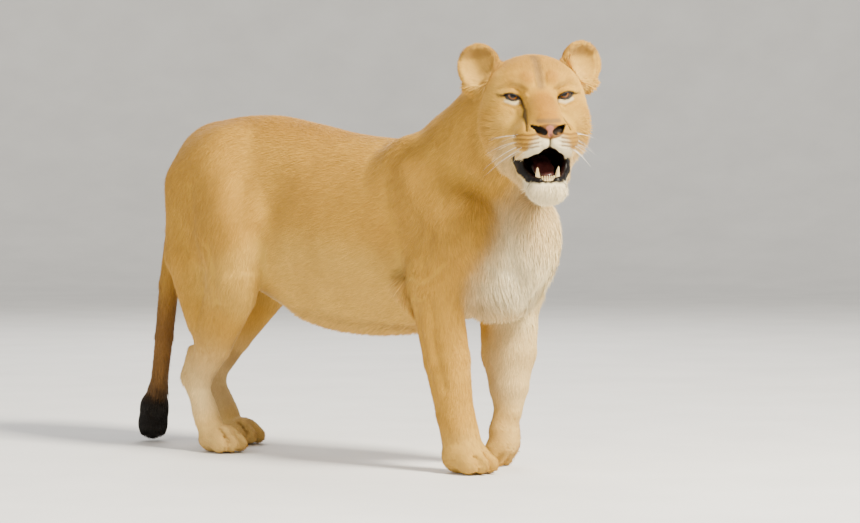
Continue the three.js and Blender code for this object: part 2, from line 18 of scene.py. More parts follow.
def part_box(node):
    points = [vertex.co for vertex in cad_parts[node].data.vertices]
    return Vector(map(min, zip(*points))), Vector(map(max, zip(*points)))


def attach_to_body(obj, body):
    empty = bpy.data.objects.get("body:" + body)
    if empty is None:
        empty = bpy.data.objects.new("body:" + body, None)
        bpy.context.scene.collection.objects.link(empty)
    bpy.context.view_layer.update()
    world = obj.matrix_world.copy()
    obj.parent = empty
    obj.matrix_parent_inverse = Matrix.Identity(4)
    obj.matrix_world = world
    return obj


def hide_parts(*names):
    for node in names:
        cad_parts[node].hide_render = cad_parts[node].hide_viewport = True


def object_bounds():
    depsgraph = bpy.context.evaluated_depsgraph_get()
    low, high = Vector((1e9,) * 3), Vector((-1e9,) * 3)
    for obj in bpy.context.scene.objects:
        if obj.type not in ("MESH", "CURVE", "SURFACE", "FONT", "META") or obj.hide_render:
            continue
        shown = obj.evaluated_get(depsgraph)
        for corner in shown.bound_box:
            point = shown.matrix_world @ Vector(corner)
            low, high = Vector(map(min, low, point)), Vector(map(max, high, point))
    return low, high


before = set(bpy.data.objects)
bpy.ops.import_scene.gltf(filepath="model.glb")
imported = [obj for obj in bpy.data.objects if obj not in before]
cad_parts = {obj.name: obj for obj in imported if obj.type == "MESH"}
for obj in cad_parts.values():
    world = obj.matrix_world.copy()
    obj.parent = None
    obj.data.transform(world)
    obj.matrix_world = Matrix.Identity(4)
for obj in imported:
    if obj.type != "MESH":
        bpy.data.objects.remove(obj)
CAD_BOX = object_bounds()

log = logging.getLogger("lioness")
Array = np.ndarray
Triple = tuple[float, float, float]
Station = tuple[float, float, float, float, float]
Face = tuple[int, int, int]
Point = tuple[float, float]
Inset = Callable[[Array], Array]
Material = bpy.types.Material
Piece = bpy.types.Object

MM = 0.001
SEED = 11
TINY = 1e-9

# ---------------- driving dimensions, in millimetres
# A trunk row is distance back, height of back, height of belly, half-width.
TRUNK = (
    (588, 700, 610, 45), (556, 782, 520, 95), (440, 816, 440, 125), (289, 822, 368, 138),
    (164, 802, 320, 146), (33, 777, 301, 154), (-116, 763, 304, 157), (-230, 762, 325, 150),
    (-340, 748, 350, 130), (-430, 700, 375, 106), (-490, 640, 420, 74),
)
# A limb station is x, y, z, half-width, half-depth.
NECK = (
    (0, -205, 612, 120, 146), (-2, -320, 698, 108, 132),
    (-8, -420, 778, 98, 122), (-14, -480, 818, 94, 108),
)
# A foreleg is shoulder, upper arm and forearm; a hind leg is haunch, hamstring, shank, heel, shin and the
# web of skin at the knee.
RIGHT_FORELEG = (
    ((-78, -175, 690, 40, 74), (-116, -375, 560, 52, 88)),
    ((-120, -380, 545, 52, 84), (-128, -305, 440, 50, 76)),
    ((-126, -312, 420, 50, 70), (-106, -331, 257, 47, 62),
     (-100, -350, 135, 40, 50), (-98, -370, 62, 42, 52)),
)
LEFT_FORELEG = (
    ((78, -195, 690, 40, 74), (110, -366, 556, 50, 78)),
    ((112, -370, 545, 50, 78), (110, -352, 430, 52, 84)),
    ((107, -342, 395, 52, 86), (92, -353, 262, 47, 77),
     (84, -360, 188, 39, 55), (79, -362, 132, 32, 40)),
)
RIGHT_HIND_LEG = (
    ((-85, 420, 690, 60, 120), (-122, 330, 540, 62, 120), (-138, 306, 430, 50, 76)),
    ((-80, 520, 650, 52, 62), (-105, 490, 480, 50, 70), (-112, 435, 320, 38, 50)),
    ((-132, 318, 400, 48, 80), (-115, 398, 270, 38, 58), (-104, 450, 190, 31, 38)),
    ((-106, 476, 245, 15, 18), (-104, 494, 182, 22, 22)),
    ((-103, 470, 168, 31, 32), (-98, 433, 75, 38, 34)),
    ((-138, 346, 470, 25, 60), (-112, 405, 380, 20, 50)),
)
LEFT_HIND_LEG = (
    ((85, 440, 690, 60, 120), (118, 416, 540, 62, 112), (124, 410, 430, 50, 80)),
    ((80, 525, 650, 52, 60), (98, 545, 480, 48, 60), (98, 565, 320, 34, 42)),
    ((120, 445, 390, 46, 70), (104, 535, 270, 36, 50), (92, 590, 185, 31, 38)),
    ((92, 616, 230, 15, 18), (90, 626, 165, 22, 22)),
    ((90, 602, 158, 31, 32), (88, 550, 75, 36, 34)),
    ((124, 450, 470, 25, 60), (98, 535, 380, 20, 42)),
)
TAIL = (
    (0, 572, 712, 30, 34), (0, 610, 640, 28, 28), (0, 638, 540, 29, 29), (0, 663, 400, 29, 29),
    (0, 681, 268, 27, 27), (0, 701, 140, 25, 25),
)
TUFT = ((0, 703, 136, 26, 26), (0, 716, 92, 41, 40), (0, 722, 47, 45, 44))
HEAD_AT = (-101.0, -590.0, 849.0)
HEAD_YAW = -42.0
HEAD_ROLL = -2.0
EYE_AT = (57.0, 9.0, 1.0)
EYE_RADIUS = 20.0
EAR_AT = (115.0, 96.0, 70.0)
EAR_RADII = (51.0, 26.0, 55.0)
EAR_TURN = 18.0
WHISKER_ROWS = (-84, -93, -102, -110)


# ---------------- directions and rings
def unit(vectors: Array) -> Array:
    """The same directions, each of length one."""
    return vectors / (np.linalg.norm(vectors, axis=-1, keepdims=True) + TINY)


def circle(count: int) -> Array:
    """Cosine and sine of evenly spaced turns round a circle, one row a turn."""
    turn = np.linspace(0, 2 * math.pi, count, endpoint=False)
    return np.stack([np.cos(turn), np.sin(turn)], axis=1)


def between(first: int, second: int, count: int) -> list[Face]:
    """Triangles between two rings of points.

    Args:
        first: number of the first ring's first point.
        second: number of the second ring's first point.
        count: points in a ring.

    Returns:
        Two triangles for each point of a ring.
    """
    made = []
    for k in range(count):
        m = (k + 1) % count
        made += [(first + k, second + k, second + m), (first + k, second + m, first + m)]
    return made


def bowl(rings: int, count: int) -> list[Face]:
    """Triangles between a point and the rings of points that follow it.

    Args:
        rings: how many rings.
        count: points in a ring.

    Returns:
        The triangles, open at the last ring.
    """
    made = [(0, 1 + k, 1 + (k + 1) % count) for k in range(count)]
    for n in range(rings - 1):
        made += between(1 + n * count, 1 + (n + 1) * count, count)
    return made


def spindle(rings: int, count: int) -> Array:
    """Triangles between a point, the rings of points that follow it and a last point.

    Args:
        rings: how many rings.
        count: points in a ring.

    Returns:
        The triangles, one a row.
    """
    last = 1 + (rings - 1) * count
    cap = [(last + k, last + count, last + (k + 1) % count) for k in range(count)]
    return np.array(bowl(rings, count) + cap)


def in_turn(parts: Sequence[Array]) -> Array:
    """The first row of each part, then the second row of each, and so on."""
    return np.stack(parts, axis=1).reshape(-1, parts[0].shape[1])


# ---------------- fields
class Field:
    """A distance in millimetres from a soft shape, negative inside it."""

    def __call__(self, points: Array) -> Array:
        """The distance at each point."""
        raise NotImplementedError

    def slope(self, points: Array, step: float = 0.5) -> Array:
        """The direction in which the distance grows, at each point.

        Args:
            points: places in millimetres, one a row.
            step: length of the difference that measures it.

        Returns:
            One vector a row, not made to length one.
        """
        here = self(points)
        sides = [self(points + np.eye(3)[axis] * step) for axis in range(3)]
        return np.stack([(side - here) / step for side in sides], axis=1)


def join(a: Array, b: Array, reach: float) -> Array:
    """Smooth minimum of two distances.

    Args:
        a: first distances.
        b: second distances.
        reach: how far apart they still melt together.

    Returns:
        The joined distances.
    """
    near = np.maximum(reach - np.abs(a - b), 0)
    return np.minimum(a, b) - near * near / (4 * reach)


def radial(r: Array, k: Array, inner: float) -> Array:
    """Distance along the ray from a centre to an ellipsoid.

    Args:
        r: distance from the centre.
        k: the same in units of the ellipsoid's radii.
        inner: smallest radius.

    Returns:
        The distance outside the ellipsoid, negative inside.
    """
    safe = np.maximum(k, 1e-6)
    return np.where(k < 1e-6, -inner, r * (1 - 1 / safe))


@dataclass(frozen=True)
class Ball(Field):
    """Ellipsoid."""

    centre: Triple
    radii: Triple

    def __call__(self, points: Array) -> Array:
        """The distance at each point.

        Args:
            points: places in millimetres, one a row.

        Returns:
            One distance a point.
        """
        offset = points - np.array(self.centre)
        k = np.linalg.norm(offset / np.array(self.radii), axis=1)
        return radial(np.linalg.norm(offset, axis=1), k, min(self.radii))


@dataclass(frozen=True)
class Link(Field):
    """Tapered elliptical capsule between two stations."""

    start: Station
    end: Station

    def __call__(self, points: Array) -> Array:
        """The distance at each point.

        Args:
            points: places in millimetres, one a row.

        Returns:
            One distance a point.
        """
        a, b = np.array(self.start[:3], float), np.array(self.end[:3], float)
        length = np.linalg.norm(b - a)
        axis = (b - a) / length
        side = unit(np.eye(3)[0] - axis * axis[0])
        front = np.cross(axis, side)
        offset = points - a
        along = offset @ axis
        t = np.clip(along / length, 0, 1)
        w = self.start[3] + (self.end[3] - self.start[3]) * t
        d = self.start[4] + (self.end[4] - self.start[4]) * t
        u, v, e = offset @ side, offset @ front, along - t * length
        k = np.sqrt((u / w) ** 2 + (v / d) ** 2 + (2 * e / (w + d)) ** 2)
        inner = min(self.start[3], self.start[4], self.end[3], self.end[4])
        return radial(np.sqrt(u * u + v * v + e * e), k, inner)


@dataclass(frozen=True)
class Blend(Field):
    """Smooth union of fields, each joined over the same reach to what came before."""

    reach: float
    parts: tuple[Field, ...]

    def __call__(self, points: Array) -> Array:
        """The distance at each point.

        Args:
            points: places in millimetres, one a row.

        Returns:
            One distance a point.
        """
        total = self.parts[0](points)
        for part in self.parts[1:]:
            total = join(total, part(points), self.reach)
        return total


@dataclass(frozen=True)
class Carve(Field):
    """The first field with the second taken out of it, with a rounded edge."""

    reach: float
    body: Field
    hollow: Field

    def __call__(self, points: Array) -> Array:
        """The distance at each point."""
        return -join(-self.body(points), self.hollow(points), self.reach)


@dataclass(frozen=True)
class Mirrored(Field):
    """The same field on both sides of the middle plane."""

    part: Field

    def __call__(self, points: Array) -> Array:
        """The distance at each point."""
        return self.part(np.stack([np.abs(points[:, 0]), points[:, 1], points[:, 2]], axis=1))


@dataclass(frozen=True)
class Place:
    """A frame of its own: its origin, and its turn about Z and then about its own Y, in degrees."""

    at: Triple
    yaw: float
    roll: float = 0.0

    def turn(self) -> Array:
        """Columns are the frame's own axes."""
        roll = Matrix.Rotation(math.radians(self.roll), 3, "Y")
        return np.array(Matrix.Rotation(math.radians(self.yaw), 3, "Z") @ roll)

    def inwards(self, points: Array) -> Array:
        """The points as the frame sees them."""
        return (points - np.array(self.at)) @ self.turn()

    def outwards(self, points: Array) -> Array:
        """The frame's points as seen from outside."""
        return points @ self.turn().T + np.array(self.at)


@dataclass(frozen=True)
class Placed(Field):
    """A field moved into a frame of its own."""

    place: Place
    part: Field

    def __call__(self, points: Array) -> Array:
        """The distance at each point."""
        return self.part(self.place.inwards(points))


@dataclass(frozen=True)
class Barrel(Field):
    """Trunk with an egg-shaped section that follows the lines of back, belly and flank."""

    rows: tuple[tuple[float, ...], ...]
    inner: float = 40.0

    def profile(self, y: Array, column: int) -> Array:
        """Smooth curve through one column of the rows.

        Args:
            y: distances back.
            column: which value of the rows.

        Returns:
            The value at each distance.
        """
        table = np.array(self.rows, float)[::-1]
        at, value = table[:, 0], table[:, column]
        slope = np.empty_like(value)
        slope[1:-1] = (value[2:] - value[:-2]) / (at[2:] - at[:-2])
        slope[0] = (value[1] - value[0]) / (at[1] - at[0])
        slope[-1] = (value[-1] - value[-2]) / (at[-1] - at[-2])
        n = np.clip(np.searchsorted(at, y) - 1, 0, len(at) - 2)
        span = at[n + 1] - at[n]
        t = np.clip((y - at[n]) / span, 0, 1)
        s = 1 - t
        curve = value[n] * (1 + 2 * t) * s * s + value[n + 1] * (3 - 2 * t) * t * t
        return curve + span * (slope[n] * t * s * s - slope[n + 1] * s * t * t)

    def __call__(self, points: Array) -> Array:
        """The distance at each point.

        Args:
            points: places in millimetres, one a row.

        Returns:
            One distance a point.
        """
        x, y, z = points.T
        at = np.clip(y, self.rows[-1][0], self.rows[0][0])
        top, low, w = (self.profile(at, column) for column in (1, 2, 3))
        h, v, e = (top - low) / 2, z - (top + low) / 2, y - at
        k = np.sqrt((x / w) ** 2 + (v / h) ** 2 + (e / w) ** 2)
        return radial(np.sqrt(x * x + v * v + e * e), k, self.inner)


@dataclass(frozen=True)
class Bounded(Field):
    """A field that is worked out only near a ball that holds it."""

    centre: Triple
    radius: float
    part: Field
    margin: float = 70.0

    def __call__(self, points: Array) -> Array:
        """The distance at each point.

        Args:
            points: places in millimetres, one a row.

        Returns:
            One distance a point.
        """
        beyond = np.linalg.norm(points - np.array(self.centre), axis=1) - self.radius
        distance = np.maximum(beyond, self.margin)
        near = beyond < self.margin
        if near.any():
            distance[near] = self.part(points[near])
        return distance


class View(Enum):
    """A flat view of the body: axes across and up, axis and sign of the side that shows, and its limit."""

    RIGHT = (1, 2, 0, -1, 0.0)
    LEFT = (1, 2, 0, 1, 0.0)
    FRONT = (0, 2, 1, -1, 270.0)
    FACE = (0, 2, 1, -1, -40.0)
    MUZZLE = (0, 2, 1, -1, 56.0)

    @property
    def on_face(self) -> bool:
        """Whether the view is the head's own, with both halves alike."""
        return self in (View.FACE, View.MUZZLE)


@dataclass(frozen=True)
class Trace(Field):
    """Distance from a line drawn in a flat view of the body; on the face it is drawn on both halves."""

    view: View
    line: tuple[Point, ...]
    half_width: float = 0.0
    far: float = 1e6

    def __call__(self, points: Array) -> Array:
        """The distance at each point.

        Args:
            points: places in millimetres, one a row.

        Returns:
            One distance a point.
        """
        across, up, axis, sign, limit = self.view.value
        flat = points[:, [across, up]]
        if self.view.on_face:
            flat = np.abs(flat * [1, 0]) + flat * [0, 1]
        best = np.full(len(points), self.far)
        for start, end in zip(self.line[:-1], self.line[1:]):
            a, d = np.array(start, float), np.array(end, float) - np.array(start, float)
            t = np.clip((flat - a) @ d / (d @ d), 0, 1)
            best = np.minimum(best, np.linalg.norm(flat - a - t[:, None] * d, axis=1))
        hidden = np.maximum(limit - sign * points[:, axis], 0)
        return best + hidden - self.half_width


def limb(reach: float, *stations: Station) -> Field:
    """Chain of capsules through stations."""
    return Blend(reach, tuple(Link(a, b) for a, b in zip(stations[:-1], stations[1:])))


def paw(width: float, length: float) -> Field:
    """Paw with four toes, its sole at z = 0 and its toes towards -y.

    Args:
        width: half the paw's width.
        length: how far the toes reach from its middle.

    Returns:
        The paw's field.
    """
    wide, long = width / 55, length / 72
    groove = 1.8
    palm = Ball((0, 14 * long, 32), (50 * wide, 52 * long, 36))
    knuckles = Ball((0, -18 * long, 36), (48 * wide, 34 * long, 30))
    inner = Mirrored(Ball((16 * wide, -46 * long, 24), (17 * wide, 27 * long, 23)))
    outer = Mirrored(Ball((40 * wide, -28 * long, 21), (16 * wide, 27 * long, 21)))
    toes = Blend(13, (Blend(16, (palm, knuckles)), inner, outer))
    middle = Link((0, -84 * long, 24, groove, 14), (0, -36 * long, 48, groove, 11))
    sides = Mirrored(Link((31 * wide, -66 * long, 19, groove, 12), (24 * wide, -18 * long, 50, groove, 9)))
    return Carve(8, Carve(8, toes, middle), sides)


@dataclass(frozen=True)
class HangingPaw(Field):
    """Paw that hangs from a bent wrist, toes down, pads to the rear."""

    at: Triple
    part: Field
    thickness: float = 32.0

    def __call__(self, points: Array) -> Array:
        """The distance at each point."""
        x, y, z = (points - np.array(self.at)).T
        return self.part(np.stack([x, z, self.thickness - y], axis=1))


@dataclass(frozen=True)
class LidOpening(Field):
    """Almond-shaped pit between the lids of the eye on the left side, open to the front."""

    half_length: float = 18.2
    upper: float = 5.5
    lower: float = 7.8
    floor: float = 7.0
    outward: float = 0.2
    slant: float = 15.0

    def axes(self) -> tuple[Array, Array, Array]:
        """The pit's own directions: along the lids, up across them, and forward.

        Returns:
            Three directions of about length one.
        """
        forward = np.array([self.outward, -1.0, 0.0]) / math.hypot(self.outward, 1.0)
        level = np.array([1.0, self.outward, 0.0]) / math.hypot(self.outward, 1.0)
        s = math.radians(self.slant)
        along = level * math.cos(s) + np.array([0, 0, math.sin(s)])
        across = -level * math.sin(s) + np.array([0, 0, math.cos(s)])
        return along, across, forward

    def __call__(self, points: Array) -> Array:
        """The distance at each point.

        Args:
            points: places in millimetres, one a row.

        Returns:
            One distance a point.
        """
        along, across, forward = self.axes()
        offset = points - np.array(EYE_AT)
        u, v, w = offset @ along, offset @ across, offset @ forward
        arch = 1 - (u / self.half_length) ** 2
        return np.maximum(np.maximum(v - self.upper * arch, -v - self.lower * arch), self.floor - w)

    def rim(self, count: int, radius: float) -> Array:
        """Points round the edge of the lids, on a ball about the eye.

        Args:
            count: how many points.
            radius: the ball's radius.

        Returns:
            The points, in the head's frame.
        """
        level, upright = circle(count).T
        u = self.half_length * level
        v = np.where(upright > 0, self.upper, self.lower) * upright * np.abs(upright)
        w = np.sqrt(np.maximum(radius**2 - u * u - v * v, 0))
        return np.array(EYE_AT) + np.stack([u, v, w], axis=1) @ np.array(self.axes())


# ---------------- the animal's shape
HEAD = Place(HEAD_AT, HEAD_YAW, HEAD_ROLL)
EAR = Place(EAR_AT, EAR_TURN)


class HeadShape:
    """Upper and lower head in the head's own frame, which faces -y from between the eyes."""

    def __init__(self) -> None:
        """Builds the fields that the skin, the markings and the coat share."""
        self.opening = LidOpening()
        self.mouth = limb(
            12, (0, -150, -150, 48, 37), (0, -62, -148, 39, 32), (0, -20, -138, 40, 22),
            (0, 14, -126, 34, 12))
        self.lip = Mirrored(limb(
            6, (0.1, -94, -184, 8, 8), (20, -88, -183, 9, 9), (35, -64, -175, 11, 11),
            (46, -36, -157, 12, 12), (54, -18, -139, 11, 10)))
        self.flews = Mirrored(limb(
            6, (11, -121, -106, 9, 9), (29, -110, -115, 12, 11), (47, -82, -124, 12, 11),
            (57, -46, -130, 11, 10)))
        self.nostril = Mirrored(limb(
            3, (12.5, -127, -80, 4.5, 5.5), (22, -121, -76, 5.5, 6), (34, -104, -69, 3.5, 4)))
        self.leather = Ball((0, -101, -69), (34, 26, 19))
        self.bare_nose = Ball((0, -120, -79), (31, 24, 16))
        floor = Link((0, -60, -176, 30, 14), (0, 0, -160, 36, 20))
        self.throat = Blend(8, (
            limb(8, (0, -72, -150, 38, 30), (0, -20, -140, 41, 32), (0, 40, -124, 44, 32)), floor))
        self.ear_cup = Mirrored(Placed(EAR, self.ear()))
        self.bowl = Mirrored(Placed(EAR, self.ear_bowl()))

    def ear_bowl(self) -> Field:
        """Hollow of an ear in the ear's own frame."""
        rx, ry, rz = EAR_RADII
        return Ball((0, -ry, 2), (rx * 0.76, ry * 1.25, rz * 0.8))

    def ear(self) -> Field:
        """Cup of an ear, open towards the front."""
        root = Ball((-16, 6, -34), (34, 22, 34))
        return Carve(6, Blend(14, (Ball((0, 0, 0), EAR_RADII), root)), self.ear_bowl())

    def skull(self) -> Field:
        """Head above the mouth, without its openings.

        Returns:
            Its field, in the head's frame.
        """
        cranium = Ball((0, 84, 14), (106, 108, 84))
        brow = Mirrored(Ball((38, 26, 22), (48, 44, 34)))
        knob = Mirrored(Ball((28, -10, 32), (18, 18, 21)))
        cheek = Mirrored(Ball((65, 58, -56), (58, 70, 86)))
        bridge = limb(8, (0, 10, -20, 46, 52), (0, -60, -48, 40, 44), (0, -94, -64, 34, 32))
        muzzle = limb(8, (0, 20, -76, 80, 58), (0, -50, -88, 68, 50), (0, -78, -92, 60, 42))
        pads = Mirrored(Ball((34, -84, -98), (36, 38, 32)))
        face = Blend(24, (Blend(40, (cranium, brow, cheek)), Blend(20, (bridge, muzzle)), pads))
        return Blend(7, (Blend(12, (face, knob)), self.leather))

    def jaw(self) -> Field:
        """Lower jaw and chin."""
        bow = Mirrored(limb(8, (60, 60, -118, 30, 56), (34, -26, -168, 30, 38), (9, -72, -198, 32, 30)))
        return Blend(20, (bow, Ball((0, -71, -203), (42, 41, 30))))

    def eyes(self, head: Field) -> Field:
        """The head with its sockets hollowed, its lids raised and cut open.

        Args:
            head: the head before that.

        Returns:
            Its field, in the head's frame.
        """
        socket = Mirrored(Ball((63, -20, 2), (28, 23, 18)))
        lids = Mirrored(Ball(EYE_AT, (25.2, 24.8, 24.6)))
        lidded = Blend(7, (Carve(10, head, socket), lids))
        return Carve(2, lidded, Mirrored(self.opening))

    def whole(self) -> Field:
        """The head with everything on it.

        Returns:
            Its field, in the head's frame.
        """
        gullet = Ball((0, 62, -140), (56, 48, 52))
        closed = Blend(20, (self.skull(), self.jaw(), gullet))
        head = Blend(6, (Carve(8, closed, self.mouth), self.flews, self.lip))
        nosed = Carve(3, self.eyes(head), self.nostril)
        return Blend(12, (nosed, self.ear_cup))


class BodyShape:
    """The whole animal out to the tips of its coat, and its parts for the lie of the coat."""

    def __init__(self, head: HeadShape) -> None:
        """Joins trunk, limbs, tail and head.

        Args:
            head: the head's shapes.
        """
        self.barrel = Barrel(TRUNK)
        self.neck = limb(60, *NECK)
        self.breast = Ball((0, -384, 487), (101, 78, 116))
        self.brisket = Ball((8, -442, 424), (74, 60, 50))
        self.head = Bounded(HEAD_AT, 230, Placed(HEAD, head.whole()))
        fore, hind = 430.0, 420.0
        self.right_fore = Bounded((-100, -320, 350), fore, self.foreleg(RIGHT_FORELEG))
        self.left_fore = Bounded((90, -320, 400), fore, self.foreleg(LEFT_FORELEG))
        self.right_hind = Bounded((-105, 420, 370), hind, self.hind_leg(*RIGHT_HIND_LEG))
        self.left_hind = Bounded((105, 500, 370), hind, self.hind_leg(*LEFT_HIND_LEG))
        pads = 110.0
        self.paws = {
            "fore_right": Bounded((-96, -395, 40), pads, Placed(Place((-96, -387, 0), 0), paw(55, 72))),
            "fore_left": Bounded((77, -370, 60), pads, HangingPaw((77, -352, 66), paw(46, 68))),
            "hind_right": Bounded((-98, 380, 40), pads, Placed(Place((-98, 388, 0), 0), paw(50, 70))),
            "hind_left": Bounded((88, 494, 40), pads, Placed(Place((88, 502, 0), 0), paw(48, 68))),
        }
        self.tail = Bounded((0, 650, 370), 400, Blend(16, (limb(6, *TAIL), limb(10, *TUFT))))

    @staticmethod
    def foreleg(parts: Sequence[Sequence[Station]]) -> Field:
        """Foreleg down to the wrist."""
        return Blend(40, tuple(limb(8, *part) for part in parts))

    @staticmethod
    def hind_leg(haunch: Sequence[Station], hamstring: Sequence[Station], *lower: Sequence[Station]) -> Field:
        """Hind leg down to the root of the paw."""
        thigh = Blend(40, (limb(12, *haunch), limb(12, *hamstring)))
        return Blend(26, (thigh, *(limb(8, *part) for part in lower)))

    def whole(self) -> Field:
        """The animal in one field.

        Returns:
            Its field, out to the tips of the coat.
        """
        trunk = Blend(50, (self.barrel, self.breast, self.neck, self.brisket))
        legs = zip((self.right_fore, self.left_fore, self.right_hind, self.left_hind), self.paws.values())
        torso = Blend(50, (trunk, *(Blend(18, pair) for pair in legs)))
        return Blend(30, (Blend(20, (torso, self.tail)), self.head))


# ---------------- colours and markings
def linear(code: str) -> Array:
    """Linear red, green and blue of a colour written as six hex digits."""
    srgb = np.array([int(code[n:n + 2], 16) for n in (0, 2, 4)]) / 255
    return np.where(srgb <= 0.04045, srgb / 12.92, ((srgb + 0.055) / 1.055) ** 2.4)


class Tint(Enum):
    """Colours of skin and coat."""

    TAWNY = "cd9b38"
    BACK = "b7842a"
    FLANK = "deb250"
    CREAM = "efd498"
    STRAW = "e4b95c"
    WHITE = "faeabf"
    GINGER = "b87e1e"
    UMBER = "7a5327"
    GREY = "7e6340"
    SOOT = "120e0b"
    LIP = "0e0807"
    PINK = "a86a58"
    # Painted shade: the mouth's inside, darkened to near black over its own red.
    SHADED_MOUTH = "220b09"

    def rgb(self) -> Array:
        """The colour in linear light."""
        return linear(self.value)


def fade(distance: Array, inner: float, outer: float) -> Array:
    """One up to the inner distance, none past the outer one, and smooth between."""
    t = np.clip((outer - distance) / (outer - inner), 0, 1)
    return t * t * (3 - 2 * t)


@dataclass(frozen=True)
class Marking:
    """A colour laid over part of the body."""

    where: Field
    colour: Tint
    inner: float
    outer: float
    strength: float = 1.0


@dataclass(frozen=True)
class Coat:
    """How the coat grows: tuft's length and width, rise in degrees, depth, tufts a square centimetre."""

    length: float
    width: float
    rise: float
    depth: float
    density: float
    droop: float = 0.0

    def row(self) -> Array:
        """The values in one row."""
        return np.array([self.length, self.width, self.rise, self.depth, self.density, self.droop])


@dataclass(frozen=True)
class CoatPatch:
    """A part of the body where the coat grows in its own way."""

    where: Field
    coat: Coat
    fade: float


